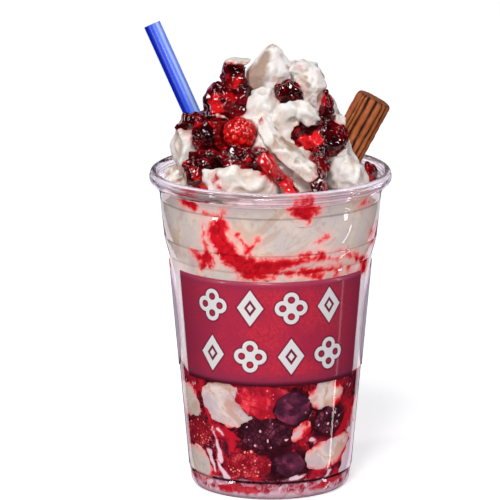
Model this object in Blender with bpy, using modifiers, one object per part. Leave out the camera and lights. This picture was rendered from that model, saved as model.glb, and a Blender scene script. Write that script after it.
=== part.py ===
"""Eton mess built together with its clear plastic cup.

Metres, +Z up. The origin is the centre of the cup's flat foot, on the surface it stands on.
The front of the cup, where its label shows, faces -Y, and +X is to the right.
Contents lie in the cup's bowl: a berry layer at the bottom, cream above it, and a heap of cream,
meringue, compote and berries that stands out of the rim, with a straw and a stick of chocolate.
Angles on the wall are degrees from the front, positive towards +X.
"""

import math

import bmesh
import bpy
from mathutils import Vector, noise

MM = 0.001
GAP = 0.35 * MM  # clearance between neighbouring pieces
GROWTH = 1.6  # cutters stand out by this many gaps, which leaves the clearance on slanting faces too

# Cup
CUP_HEIGHT = 131.0 * MM
RIM_RADIUS = 49.1 * MM
WALL = 0.9 * MM
FLOOR = 1.6 * MM
FOOT_RADIUS = 28.4 * MM
HEEL_RADIUS = 32.3 * MM
HEEL_HEIGHT = 3.8 * MM
RING_EDGE = (32.85 * MM, 7.1 * MM)  # radius and height of the wall just above the heel
RING_GROOVE = (32.55 * MM, 7.8 * MM)  # fine groove round it
LOW_WALL = (33.2 * MM, 8.6 * MM)  # radius and height where the straight wall starts
SHOULDER = (41.1 * MM, 96.3 * MM)  # and where it ends, under the stacking shoulder
SHOULDER_TOP = (42.9 * MM, 102.6 * MM)
NECK = (44.7 * MM, 120.4 * MM)
FOLD = (46.0 * MM, 124.1 * MM)  # outer side, where the wall flares out under the bead
THROAT = (45.1 * MM, 124.6 * MM)  # inner side, at the same place
BEAD_WIDTH = 3.6 * MM
BEAD_HEIGHT = 5.4 * MM
BEAD_ARC = (180, -75)  # degrees, from its inner side over the top to its underside
BEAD_POINTS = 7
HEEL_POINTS = 4
ROUND_STEPS = 40
STEP_ANGLE = 360 / ROUND_STEPS

# Label and its plain panel at the back
LABEL_LOW = 49.4 * MM
LABEL_HIGH = 93.1 * MM
LABEL_SHEET = 0.3 * MM
FRONT_FACETS = 14
BACK_FACETS = 24
BACK_ROUNDING = 0.18  # share of the back panel's half width that its rounded end takes
END_SHARE = 0.15  # and how much of the height is left at its very end

# Straw
STRAW_RADIUS = 3.5 * MM
STRAW_WALL = 0.6 * MM
STRAW_TOP = Vector((-48.2, 25.0, 185.6)) * MM
STRAW_END = Vector((26.6, -3.0, 22.0)) * MM
STRAW_SIDES = 16

# Chocolate stick
STICK_TOP = Vector((42.4, 4.0, 159.6)) * MM
STICK_END = Vector((14.0, 0.0, 107.0)) * MM
STICK_RADIUS = 7.4 * MM
STICK_RIBS = 9
RIB_POINTS = 4  # corners that make each rib and its groove
RIB_DEPTH = 0.9 * MM
RIB_SPREAD = 0.8  # how far the ribs' depths differ
STICK_BEVEL = 1.6 * MM

# Contents
LAYER_LEVEL = 50.0 * MM  # berry layer below, cream above
LAYER_WAVE = 5.0 * MM
FILL_LEVEL = 124.5 * MM  # cream's surface round the foot of the heap
FILL_SLOPE = (0.045, -0.08)  # rise towards +X and +Y
FILL_WAVE = 0.8 * MM
LAYER_LIFT = 1.3 * GAP  # clearance between the layers
LAYER_SEED = 3.0
FILL_SEED = 5.0
ROOM_TOP = 200.0 * MM
BLOCK_HALF = 56.0 * MM
BLOCK_TOP = 210.0 * MM
BLOCK_CELLS = 8
WAVE_LENGTH = 24.0 * MM
GRAIN_LENGTH = 4.0  # millimetres between the knobs of a rough strand
BERRY_LEAN = 0.1  # how far a berry departs from a true ball
BERRY_ROOM = 1.6  # a berry's hollow clears its drupelets by this many times their relief
MERINGUE_ROUGH = 0.16
POCKET_ROUGH = 0.12
ALONG_SINK = 0.3  # millimetres from the wall to the middle of a strand on it
POCKET_ROUNDS = (8, 6)  # faces round and along the hollow that a piece lies in
POCKET_SWELL = 1.08  # lets the flat faces of the hollow clear the piece
POCKET_REACH = 0.8  # cosine within which the hollow looks for the highest knob
PLAIN_FACES = 150  # a piece with fewer faces keeps them all
PIECE_SHARE = 0.68
LAYER_SHARE = 0.58
FLAT_ANGLE = math.radians(0.6)  # faces that lean less than this to each other count as one
MERGE = 0.01 * MM
SHARP = 40  # degrees between faces above which an edge is drawn sharp
SHARP_FOOD = 55
SHARP_RIB = 30

PARTS = "eton_mess"
CUTTERS = "cutters"


def clear_scene():
    for obj in list(bpy.data.objects):
        bpy.data.objects.remove(obj, do_unlink=True)


def collection(name):
    made = bpy.data.collections.new(name)
    bpy.context.scene.collection.children.link(made)
    return made


def material(name, colour, roughness=0.5, alpha=1.0, transmission=0.0):
    made = bpy.data.materials.new(name)
    made.use_nodes = True
    shader = made.node_tree.nodes["Principled BSDF"]
    shader.inputs["Base Color"].default_value = (*colour, 1.0)
    shader.inputs["Roughness"].default_value = roughness
    shader.inputs["Metallic"].default_value = 0.0
    shader.inputs["Alpha"].default_value = alpha
    shader.inputs["Transmission Weight"].default_value = transmission
    return made


def link(obj, place):
    bpy.data.collections[place].objects.link(obj)
    if place == CUTTERS:
        obj.hide_render = True
        obj.display_type = "WIRE"
    return obj


def from_bmesh(name, bm, place=PARTS):
    mesh = bpy.data.meshes.new(name)
    bm.to_mesh(mesh)
    bm.free()
    return link(bpy.data.objects.new(name, mesh), place)


def evaluated(obj):
    """A mesh of the object as its modifiers make it."""
    graph = bpy.context.evaluated_depsgraph_get()
    return bpy.data.meshes.new_from_object(obj.evaluated_get(graph))


def apply_modifiers(obj):
    mesh = evaluated(obj)
    obj.modifiers.clear()
    obj.data = mesh


def drop_scraps(obj):
    """Keep the largest of the bodies that a cut left, and join the faces that lie in one plane."""
    bm = bmesh.new()
    bm.from_mesh(obj.data)
    unseen = set(bm.verts)
    bodies = []
    while unseen:
        front = [unseen.pop()]
        body = set(front)
        while front:
            vert = front.pop()
            for edge in vert.link_edges:
                other = edge.other_vert(vert)
                if other in unseen:
                    unseen.remove(other)
                    body.add(other)
                    front.append(other)
        bodies.append(body)
    bodies.sort(key=spread, reverse=True)
    for body in bodies[1:]:
        bmesh.ops.delete(bm, geom=list(body), context="VERTS")
    bmesh.ops.dissolve_limit(
        bm, angle_limit=FLAT_ANGLE, use_dissolve_boundaries=False, verts=bm.verts, edges=bm.edges
    )
    bmesh.ops.triangulate(bm, faces=bm.faces)
    bm.to_mesh(obj.data)
    bm.free()


def thin_out(obj, share):
    """Collapse the small faces that cuts leave, down to a share of all faces."""
    decimate = obj.modifiers.new("Thin", "DECIMATE")
    decimate.ratio = share
    decimate.use_collapse_triangulate = True
    apply_modifiers(obj)


def spread(body):
    """Size of a group of vertices: the diagonal of its box."""
    low = [min(vert.co[axis] for vert in body) for axis in range(3)]
    high = [max(vert.co[axis] for vert in body) for axis in range(3)]
    return (Vector(high) - Vector(low)).length


def world_box(obj):
    corners = [obj.matrix_world @ Vector(corner) for corner in obj.bound_box]
    low = [min(corner[axis] for corner in corners) for axis in range(3)]
    high = [max(corner[axis] for corner in corners) for axis in range(3)]
    return low, high


def touching(first, second):
    (low_a, high_a), (low_b, high_b) = world_box(first), world_box(second)
    return all(low_a[i] < high_b[i] and low_b[i] < high_a[i] for i in range(3))


def combine(obj, others, operation):
    """One applied Boolean of the object with a collection of other shapes."""
    if not others:
        return
    group = collection(f"{obj.name}_{operation.lower()}")
    for other in others:
        group.objects.link(other)
    boolean = obj.modifiers.new(operation.title(), "BOOLEAN")
    boolean.operation = operation
    boolean.solver = "EXACT"
    boolean.operand_type = "COLLECTION"
    boolean.collection = group
    apply_modifiers(obj)
    bpy.data.collections.remove(group)


def remove(objects):
    for obj in list(objects):
        bpy.data.objects.remove(obj, do_unlink=True)


def set_smooth(obj, angle=SHARP):
    obj.data.shade_smooth()
    obj.data.set_sharp_from_angle(angle=math.radians(angle))


# Turned shapes


def turned(name, profile, place=PARTS):
    """A profile of (radius, height), turned round Z. It runs down its outer side."""
    mesh = bpy.data.meshes.new(name)
    points = [(radius, 0.0, height) for radius, height in profile]
    mesh.from_pydata(points, [(i, i + 1) for i in range(len(points) - 1)], [])
    obj = link(bpy.data.objects.new(name, mesh), place)
    screw = obj.modifiers.new("Turn", "SCREW")
    screw.steps = ROUND_STEPS
    screw.render_steps = ROUND_STEPS
    screw.use_merge_vertices = True
    screw.merge_threshold = MERGE
    screw.use_smooth_shade = True
    return obj


def arc(centre, width, height, start, stop, count):
    """Points on an ellipse, from one angle in degrees to another."""
    turns = [math.radians(start + (stop - start) * i / (count - 1)) for i in range(count)]
    return [(centre[0] + width * math.cos(t), centre[1] + height * math.sin(t)) for t in turns]


def straight_wall(inset=0.0):
    """The wall from its shoulder-to-neck part down to the ring, moved inwards by the inset."""
    nodes = [NECK, SHOULDER_TOP, SHOULDER, LOW_WALL]
    return [(radius - inset, height) for radius, height in nodes]


def bead_centre():
    return RIM_RADIUS - BEAD_WIDTH / 2, CUP_HEIGHT - BEAD_HEIGHT / 2


def inner_line(inset):
    """The inner side from under the bead down to the floor's middle, moved inwards by the inset."""
    middle, height = bead_centre()
    lip = (middle - BEAD_WIDTH / 2 - inset, height)
    throat = (THROAT[0] - inset, THROAT[1])
    heel = arc(
        (FOOT_RADIUS - WALL - inset, FLOOR + inset + HEEL_HEIGHT),
        HEEL_RADIUS - FOOT_RADIUS,
        HEEL_HEIGHT,
        0,
        -90,
        HEEL_POINTS,
    )
    return [lip, throat] + straight_wall(WALL + inset) + heel + [(0.0, FLOOR + inset)]


def outer_line():
    """The outer side from under the bead down to the foot's middle."""
    middle = (FOOT_RADIUS, HEEL_HEIGHT)
    heel = arc(middle, HEEL_RADIUS - FOOT_RADIUS, HEEL_HEIGHT, 0, -90, HEEL_POINTS)
    return [FOLD] + straight_wall() + [RING_GROOVE, RING_EDGE] + heel + [(0.0, 0.0)]


def bead_line():
    """Round the rim's bead, from its inner side over the top to its underside."""
    return arc(bead_centre(), BEAD_WIDTH / 2, BEAD_HEIGHT / 2, *BEAD_ARC, BEAD_POINTS)


def make_cup():
    profile = inner_line(0.0)[::-1] + bead_line()[1:] + outer_line()
    cup = turned("cup", profile)
    cup.data.materials.append(CLEAR)
    apply_modifiers(cup)
    set_smooth(cup)


def make_room():
    """All that contents may fill: the bowl less a gap, and the air over the rim."""
    mouth = inner_line(GAP)[0][0]
    return turned("room", [(0.0, ROOM_TOP), (mouth, ROOM_TOP)] + inner_line(GAP), CUTTERS)


def wall_radius(height, inset=0.0):
    """Outer radius of the straight wall at a height, less the inset."""
    nodes = straight_wall(inset)
    for (high_r, high_z), (low_r, low_z) in zip(nodes, nodes[1:]):
        if height >= low_z:
            return low_r + (high_r - low_r) * (height - low_z) / (high_z - low_z)
    return nodes[-1][0]


# Primitive food shapes. Each returns a function that builds it, larger by what it is told.


def sphere(rounds):
    bm = bmesh.new()
    bmesh.ops.create_uvsphere(bm, u_segments=rounds[0], v_segments=rounds[1], radius=1.0)
    return bm


def lump(at, size, turn=(0, 0, 0), rough=0.1, knobs=1.6, seed=0.0, rounds=(10, 7), blocky=1.0):
    """A knobbly ball of the given width, depth and height in millimetres.

    Below 1, blocky swells its corners. Its pocket has fewer faces, so it is a little larger.
    """
    shift = Vector((seed, 1.7 * seed, -seed))

    def swell_at(way):
        return 1.0 + rough * noise.noise(way * knobs + shift) * 2.0

    def build(grow=0.0):
        ball = sphere(rounds)
        pocket = sphere(POCKET_ROUNDS)
        ways = [vert.co.normalized() for vert in ball.verts]
        bm = pocket if grow else ball
        for vert in bm.verts:
            way = vert.co.normalized()
            swell = swell_at(way)
            if grow:
                near = [swell_at(other) for other in ways if other.dot(way) > POCKET_REACH]
                swell = max(near + [swell]) * POCKET_SWELL
            half = Vector(size) * MM * 0.5 * swell
            squared = [math.copysign(abs(way[i]) ** blocky, way[i]) for i in range(3)]
            vert.co = Vector([squared[i] * half[i] + way[i] * grow for i in range(3)])
        bmesh.ops.triangulate(bm, faces=bm.faces)
        (ball if grow else pocket).free()
        obj = from_bmesh("lump", bm, CUTTERS)
        obj.location = Vector(at) * MM
        obj.rotation_euler = [math.radians(angle) for angle in turn]
        return obj

    return build


def berry(at, size, turn=(0, 0, 0), seed=0.0, bumps=0.07, fine=2):
    """A ball of drupelets: every corner of a coarse ball stands out, and the points between sink.

    Its pocket is a plain smooth ball round it.
    """
    hollow = lump(at, [side * (1.0 + BERRY_ROOM * bumps) for side in size], turn, 0.0)

    def build(grow=0.0):
        if grow:
            return hollow(grow)
        bm = bmesh.new()
        bmesh.ops.create_icosphere(bm, subdivisions=fine, radius=1.0)
        crowns = set(bm.verts)
        bmesh.ops.subdivide_edges(bm, edges=bm.edges, cuts=1, use_grid_fill=True)
        shift = Vector((seed, -seed, 2.3 * seed))
        for vert in bm.verts:
            way = vert.co.normalized()
            lift = bumps if vert in crowns else -bumps
            swell = 1.0 + lift + BERRY_LEAN * noise.noise(way * 1.4 + shift)
            half = Vector(size) * MM * 0.5 * swell
            vert.co = Vector([way[i] * half[i] for i in range(3)])
        bmesh.ops.triangulate(bm, faces=bm.faces)
        obj = from_bmesh("berry", bm, CUTTERS)
        obj.location = Vector(at) * MM
        obj.rotation_euler = [math.radians(angle) for angle in turn]
        return obj

    return build


def strand(points, radii, sides=1, rough=0.0, seed=0.0):
    """A rounded strand through points in millimetres, with a radius at each."""

    def build(grow=0.0):
        curve = bpy.data.curves.new("strand", "CURVE")
        curve.dimensions = "3D"
        curve.resolution_u = 2
        curve.bevel_depth = 1.0 * MM
        curve.bevel_resolution = sides
        curve.use_fill_caps = True
        spline = curve.splines.new("BEZIER")
        spline.bezier_points.add(len(points) - 1)
        ends = (0, len(points) - 1)
        for i, knot in enumerate(spline.bezier_points):
            knot.co = Vector(points[i]) * MM
            knot.handle_left_type = "AUTO"
            knot.handle_right_type = "AUTO"
            knot.radius = radii[i] + grow / MM
        for i in ends:
            near = points[1] if i == 0 else points[-2]
            outward = (Vector(points[i]) - Vector(near)).normalized()
            spline.bezier_points[i].co += outward * grow
        guide = link(bpy.data.objects.new("strand", curve), CUTTERS)
        mesh = evaluated(guide)
        bm = bmesh.new()
        bm.from_mesh(mesh)
        bmesh.ops.remove_doubles(bm, verts=bm.verts, dist=MERGE)
        bm.normal_update()
        for vert in bm.verts:
            shift = vert.co / (GRAIN_LENGTH * MM) + Vector((seed, seed, seed))
            vert.co += vert.normal * rough * MM * noise.noise(shift)
        bmesh.ops.triangulate(bm, faces=bm.faces)
        obj = from_bmesh("strand", bm, CUTTERS)
        obj.matrix_world = guide.matrix_world
        bpy.data.objects.remove(guide, do_unlink=True)
        return obj

    return build


def wall_spot(angle, height, sink=0.0):
    """A point on the wall's inner side, sunk towards the axis, all in millimetres."""
    reach = wall_radius(height * MM, WALL) / MM - sink
    turn = math.radians(angle)
    return reach * math.sin(turn), -reach * math.cos(turn), height


def at_wall(shape, angle, height, size, tilt=0, sink=0.2, **more):
    """A shape pressed against the wall: its width along the wall, its depth towards the axis."""
    spot = wall_spot(angle, height, sink * size[1])
    return shape(spot, size, (0, tilt, angle), **more)


def along_wall(stops, radii, **more):
    """A strand that follows the wall through (angle, height) stops."""
    return strand([wall_spot(*stop, ALONG_SINK) for stop in stops], radii, **more)


# Pieces. Each one gives way to all that were made before it.

blockers = []


def near_blockers(body):
    return [other for other in blockers if touching(body, other)]


def piece(name, finish, shapes, inside=True):
    """Join the shapes, keep what lies in the cup's room, and cut away room for earlier pieces."""
    built = [shape() for shape in shapes]
    bpy.context.view_layer.update()
    body = built[0]
    combine(body, built[1:], "UNION")
    remove(built[1:])
    if inside:
        combine(body, [ROOM], "INTERSECT")
    combine(body, near_blockers(body), "DIFFERENCE")
    drop_scraps(body)
    if len(body.data.polygons) > PLAIN_FACES:
        thin_out(body, PIECE_SHARE)
    make_part(body, name, finish, SHARP_FOOD)
    blockers.extend(shape(GAP * GROWTH) for shape in shapes)
    bpy.context.view_layer.update()


def make_part(body, name, finish, sharp):
    """Turn a shape from the cutters' collection into a part with its own finish."""
    body.name = name
    body.data.name = name
    body.data.materials.clear()
    body.data.materials.append(finish)
    bpy.data.collections[CUTTERS].objects.unlink(body)
    bpy.data.collections[PARTS].objects.link(body)
    body.hide_render = False
    body.display_type = "TEXTURED"
    set_smooth(body, sharp)


def wave_block(name, level, wave, slope, seed):
    """A block over a wavy, sloping surface, which parts one layer from the next."""
    bm = bmesh.new()
    bmesh.ops.create_grid(
        bm, x_segments=BLOCK_CELLS, y_segments=BLOCK_CELLS, size=BLOCK_HALF
    )
    for vert in bm.verts:
        shift = vert.co / WAVE_LENGTH + Vector((seed, seed, seed))
        vert.co.z = level + slope[0] * vert.co.x + slope[1] * vert.co.y
        vert.co.z += wave * noise.noise(shift) * 2.0
    bmesh.ops.triangulate(bm, faces=bm.faces)
    top = bmesh.ops.extrude_face_region(bm, geom=bm.faces[:], use_keep_orig=True)["geom"]
    for vert in [item for item in top if isinstance(item, bmesh.types.BMVert)]:
        vert.co.z = BLOCK_TOP
    bmesh.ops.recalc_face_normals(bm, faces=bm.faces)
    return from_bmesh(name, bm, CUTTERS)


def between(top, end, radius, sides, grow=0.0, open_ends=False):
    """A cylinder from one point to another."""
    bm = bmesh.new()
    length = (top - end).length + 2 * grow
    bmesh.ops.create_cone(
        bm,
        cap_ends=not open_ends,
        segments=sides,
        radius1=radius + grow,
        radius2=radius + grow,
        depth=length,
    )
    obj = from_bmesh("rod", bm, CUTTERS)
    lay_between(obj, top, end)
    return obj


def lay_between(obj, top, end):
    obj.location = (top + end) / 2
    obj.rotation_mode = "QUATERNION"
    obj.rotation_quaternion = (top - end).to_track_quat("Z", "Y")


def make_panel(name, centre, facets, low, high, rounded):
    """A thin panel wrapped round the straight wall, facet on facet."""
    bm = bmesh.new()
    bmesh.ops.create_grid(bm, x_segments=facets, y_segments=1, size=1.0)
    half_turn = facets * STEP_ANGLE / 2
    for vert in bm.verts:
        along, across = vert.co.x, vert.co.y
        turn = math.radians(centre + along * half_turn)
        edge = max(0.0, (abs(along) - 1.0 + rounded) / rounded) if rounded else 0.0
        reach = math.sqrt(max(0.0, 1.0 - edge * edge)) * (1.0 - END_SHARE) + END_SHARE
        height = (low + high) / 2 + across * (high - low) / 2 * reach
        radius = wall_radius(height) + GAP
        vert.co = Vector((radius * math.sin(turn), -radius * math.cos(turn), height))
    bmesh.ops.recalc_face_normals(bm, faces=bm.faces)
    if sum((face.calc_center_median().xy.dot(face.normal.xy) for face in bm.faces)) < 0:
        bmesh.ops.reverse_faces(bm, faces=bm.faces)
    panel = from_bmesh(name, bm)
    sheet = panel.modifiers.new("Sheet", "SOLIDIFY")
    sheet.thickness = LABEL_SHEET
    sheet.offset = 1.0
    panel.data.materials.append(LABEL)
    set_smooth(panel)


def make_straw():
    straw = between(STRAW_TOP, STRAW_END, STRAW_RADIUS, STRAW_SIDES, open_ends=True)
    wall = straw.modifiers.new("Wall", "SOLIDIFY")
    wall.thickness = STRAW_WALL
    wall.offset = -1.0
    make_part(straw, "straw", STRAW, SHARP)
    blockers.append(between(STRAW_TOP, STRAW_END, STRAW_RADIUS, STRAW_SIDES, GAP * GROWTH))


def make_stick():
    """A stick pressed from folded chocolate: lengthwise ribs, and edges rounded over at both ends."""
    bm = bmesh.new()
    bmesh.ops.create_cone(
        bm,
        cap_ends=True,
        segments=STICK_RIBS * RIB_POINTS,
        radius1=STICK_RADIUS,
        radius2=STICK_RADIUS,
        depth=(STICK_TOP - STICK_END).length,
    )
    for vert in bm.verts:
        rib = (math.atan2(vert.co.y, vert.co.x) / (2 * math.pi) + 1.0) * STICK_RIBS
        dip = (1.0 - math.cos(2 * math.pi * rib)) / 2
        depth = RIB_DEPTH * RIB_SPREAD * (1.0 + noise.noise(Vector((0.7 * round(rib), 0.5, 0.1))))
        scale = 1.0 - dip * depth / STICK_RADIUS
        vert.co.x *= scale
        vert.co.y *= scale
    rims = [edge for edge in bm.edges if edge.verts[0].co.z * edge.verts[1].co.z > 0]
    bmesh.ops.bevel(
        bm, geom=rims, offset=STICK_BEVEL, segments=1, profile=0.5, affect="EDGES", material=-1
    )
    bmesh.ops.triangulate(bm, faces=bm.faces)
    stick = from_bmesh("chocolate_stick", bm)
    lay_between(stick, STICK_TOP, STICK_END)
    stick.data.materials.append(CHOCOLATE)
    set_smooth(stick, SHARP_RIB)
    blockers.append(between(STICK_TOP, STICK_END, STICK_RADIUS, STRAW_SIDES, GAP * GROWTH))


def make_wall_berries():
    """Berries in the berry layer that press against the wall, all the way round."""
    piece("bramble_centre", BRAMBLE, [at_wall(berry, -3, 28.2, (19, 14, 13), seed=1)])
    piece("bramble_right", BRAMBLE, [at_wall(berry, 43, 32.4, (14, 12, 10.5), seed=2, fine=1)])
    piece("bramble_side", BRAMBLE, [at_wall(berry, -102, 30, (16, 13, 12), seed=3, fine=1)])
    piece("bramble_back", BRAMBLE, [at_wall(berry, 150, 17, (17, 13, 12), seed=4, fine=1)])
    piece("raspberry_low", RASPBERRY, [at_wall(berry, -16, 15.4, (19, 13, 11.5), seed=5)])
    piece("raspberry_left", RASPBERRY, [at_wall(berry, -57, 26, (16, 13, 11), seed=6, fine=1)])
    piece("raspberry_back", RASPBERRY, [at_wall(berry, 162, 39, (17, 13, 11.5), seed=7, fine=1)])
    piece("raspberry_side", RASPBERRY, [at_wall(berry, 101, 18, (16, 13, 11), seed=8, fine=1)])
    round_one = at_wall(lump, 14.5, 39.5, (14, 12, 13), rough=0.04, seed=9)
    piece("currant_centre", DARK_BERRY, [round_one])
    low_one = at_wall(lump, 12.5, 15.7, (13.5, 12, 10), rough=0.06, seed=10)
    piece("currant_low", DARK_BERRY, [low_one])
    wide_one = at_wall(lump, -1, 42.4, (25, 14, 14), tilt=8, rough=0.07, seed=11)
    piece("strawberry_front", STRAWBERRY, [wide_one])
    back_one = at_wall(lump, -132, 41, (23, 14, 14), tilt=-10, rough=0.07, seed=12)
    piece("strawberry_back", STRAWBERRY, [back_one])


def make_wall_whites():
    """Broken meringue and pockets of cream in the berry layer, pressed against the wall."""
    spots = [
        ("meringue_wide", MERINGUE, -29, 40.3, (27, 14, 18.5), 14),
        ("meringue_corner", MERINGUE, 40, 43.0, (20, 11, 10.5), -4),
        ("meringue_low", MERINGUE, 47, 19.0, (26, 12, 13), -18),
        ("meringue_chip", MERINGUE, 20, 29.4, (11, 7, 4.8), -38),
        ("meringue_back_high", MERINGUE, 128, 36, (24, 13, 15), 12),
        ("meringue_back_low", MERINGUE, -161, 23, (26, 13, 14), -14),
        ("cream_pocket_left", CREAM, -68, 38.5, (19, 9, 13), 30),
        ("cream_pocket_low", CREAM, -63, 12.8, (20, 9, 11), 0),
        ("cream_pocket_side", CREAM, 82, 34, (17, 10, 14), -20),
    ]
    for count, (name, finish, angle, height, size, tilt) in enumerate(spots):
        rough = MERINGUE_ROUGH if finish is MERINGUE else POCKET_ROUGH
        shape = at_wall(
            lump, angle, height, size, tilt, rough=rough, knobs=1.9, seed=20 + count
        )
        piece(name, finish, [shape])


def make_ripples():
    """Compote that runs through the cream and shows at the wall."""
    swoosh = [(-31, 117), (-31, 110.5), (-22, 102.4), (-8, 100.2), (10, 101), (30, 103)]
    piece("ripple_front", COMPOTE, [along_wall(swoosh, [1.8, 2.9, 3.3, 2.8, 2.6, 1.6])])
    star = [(-41, 105), (-38.5, 100.8), (-40, 96)]
    piece("ripple_star", COMPOTE, [along_wall(star, [1.2, 3.3, 0.9])])
    low = [(-17, 95.6), (-9, 95.9), (2, 95.2)]
    piece("ripple_low", COMPOTE, [along_wall(low, [1.0, 1.6, 0.9])])
    drip = at_wall(lump, 18.3, 120.4, (13, 7, 9), rough=0.1, seed=31)
    piece("ripple_drip", COMPOTE, [drip])
    side = [(78, 112), (84, 104), (96, 99), (110, 101)]
    piece("ripple_side", COMPOTE, [along_wall(side, [1.4, 2.8, 2.8, 1.5])])
    back = [(140, 116), (150, 107), (166, 101), (186, 102), (200, 108)]
    piece("ripple_back", COMPOTE, [along_wall(back, [1.6, 3.0, 3.2, 2.6, 1.5])])
    left = [(-118, 118), (-112, 110), (-96, 103), (-84, 101)]
    piece("ripple_left", COMPOTE, [along_wall(left, [1.6, 2.9, 2.9, 1.4])])


def make_heap_pieces():
    """Meringue, berries and compote that lie on the heap."""
    peak = [
        lump((-0.8, -2, 168.6), (19, 17, 19), (0, 0, 20), 0.14, 1.7, 41, blocky=0.8),
        lump((2.2, -1, 177.4), (10.5, 11, 11), (0, 20, 0), 0.1, 1.5, 42, (8, 6)),
    ]
    piece("meringue_peak", MERINGUE, peak)
    right = [
        lump((15.0, -4, 162.4), (15.5, 18, 24), (0, 6, -10), 0.12, 1.8, 43, blocky=0.8),
        lump((13.4, -3, 171.4), (15, 13, 9), (0, 14, 0), 0.1, 1.5, 44, (8, 6), blocky=0.8),
    ]
    piece("meringue_right", MERINGUE, right)
    slab = [
        (-3.4, -21.6, 156.4),
        (0.8, -26.6, 148.4),
        (5.9, -29.8, 143.4),
        (12.4, -32.2, 138.8),
        (17.4, -33.4, 134),
    ]
    piece("meringue_slab", MERINGUE, [strand(slab, [2.8, 4.4, 5.1, 5.0, 3.4], 1, 1.6, 5)])
    scraps = [
        ("meringue_sliver", (-12.4, -2, 176.2), (13.4, 9, 4.2), (0, 8, 10)),
        ("meringue_rim", (-38.4, -8.4, 129.0), (8.6, 10, 11), (0, -12, 0)),
        ("meringue_fleck", (26.6, -8, 150.2), (7, 9, 9), (0, 20, 0)),
        ("meringue_rear", (-4, 18, 160), (20, 15, 18), (10, 0, 15)),
        ("meringue_rear_low", (21, 28, 137), (17, 12, 13), (0, 10, 40)),
    ]
    for count, (name, at, size, turn) in enumerate(scraps):
        shape = lump(at, size, turn, 0.13, 1.7, 45 + count, (9, 6), blocky=0.85)
        piece(name, MERINGUE, [shape])

    top = berry((-12.4, -22.5, 150.2), (13.4, 12.6, 13), seed=9)
    piece("raspberry_top", RASPBERRY, [top])
    rear = berry((-12, 28, 147), (12.6, 12.6, 12), seed=10, fine=1)
    piece("raspberry_rear", RASPBERRY, [rear])
    piece("bramble_rear", BRAMBLE, [berry((1, 33.5, 135.5), (13, 12, 12.5), seed=11, fine=1)])
    rim_one = lump((40.2, 0.5, 128.6), (7.4, 9, 8.4), (0, 0, 0), 0.06, 1.5, 50, (8, 6))
    piece("currant_rim", DARK_BERRY, [rim_one])


def make_heap_compote():
    """Compote spooned over the heap and running down it."""
    crest = [
        lump((-13.4, -2, 169.2), (12.4, 13, 16), (0, 0, 0), 0.1, 1.7, 61, (8, 6), blocky=0.75),
        lump((-17.0, -6, 159.4), (21, 18, 16), (0, 0, 0), 0.1, 1.7, 62, blocky=0.75),
    ]
    piece("compote_crest", COMPOTE, crest)
    shoulder = [(-27, -14, 152), (-33.5, -8, 152.4), (-37, -4, 147.6)]
    left = [
        lump((-22.4, -16, 147), (18, 14, 15), (0, 0, 20), 0.12, 1.8, 64),
        strand(shoulder, [3.4, 2.8, 1.8]),
    ]
    piece("compote_left", COMPOTE, left)
    pocket = lump((7.6, -12, 164.4), (11.4, 8, 11.4), (0, 0, 0), 0.1, 1.8, 65, (8, 6))
    piece("compote_pocket", COMPOTE, [pocket])
    drip = [(19.3, -21, 146), (20.1, -30, 139.6), (19.7, -34.6, 134.6), (20.0, -37, 129)]
    right = [
        lump((18.6, -16.5, 146.8), (26, 14, 15), (0, -6, 12), 0.14, 1.9, 66),
        lump((21.6, -9, 157.4), (6, 10, 17), (0, -4, 0), 0.1, 1.7, 67, (8, 6)),
        strand(drip, [3.2, 3.8, 3.6, 2.8], 1, 0.6, 2),
    ]
    piece("compote_right", COMPOTE, right)
    streak = [(-3.5, -32.6, 143), (0.6, -36, 138), (5.1, -38.6, 133.6), (10.6, -40.2, 129)]
    front = [
        lump((-10.4, -29.6, 140), (24, 12, 12), (0, 6, -6), 0.14, 1.9, 68),
        lump((-26.4, -24, 136), (17, 12, 16), (0, 0, 20), 0.14, 1.9, 69),
        strand(streak, [3.2, 3.5, 3.4, 2.2], 1, 0.6, 3),
    ]
    piece("compote_front", COMPOTE, front)
    rear = [(8, 10, 166), (11, 20, 158), (11, 27, 149), (9, 31, 141), (12, 35.5, 131)]
    piece("compote_rear", COMPOTE, [strand(rear, [4.6, 5.2, 4.8, 3.6, 2.8], 1, 1.0, 4)])
    rear_left = lump((-24, 10, 147), (15, 17, 13), (0, 0, 20), 0.14, 1.9, 70)
    piece("compote_rear_left", COMPOTE, [rear_left])


def make_cream():
    """Cream from the berry layer to the rim."""
    body = make_room()
    floor = wave_block("floor", LAYER_LEVEL + LAYER_LIFT, LAYER_WAVE, (0.0, 0.0), LAYER_SEED)
    surface = wave_block("surface", FILL_LEVEL, FILL_WAVE, FILL_SLOPE, FILL_SEED)
    bpy.context.view_layer.update()
    combine(body, [floor], "INTERSECT")
    combine(body, [surface], "DIFFERENCE")
    combine(body, near_blockers(body), "DIFFERENCE")
    remove([floor, surface])
    finish_layer(body, "cream", CREAM)


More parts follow.
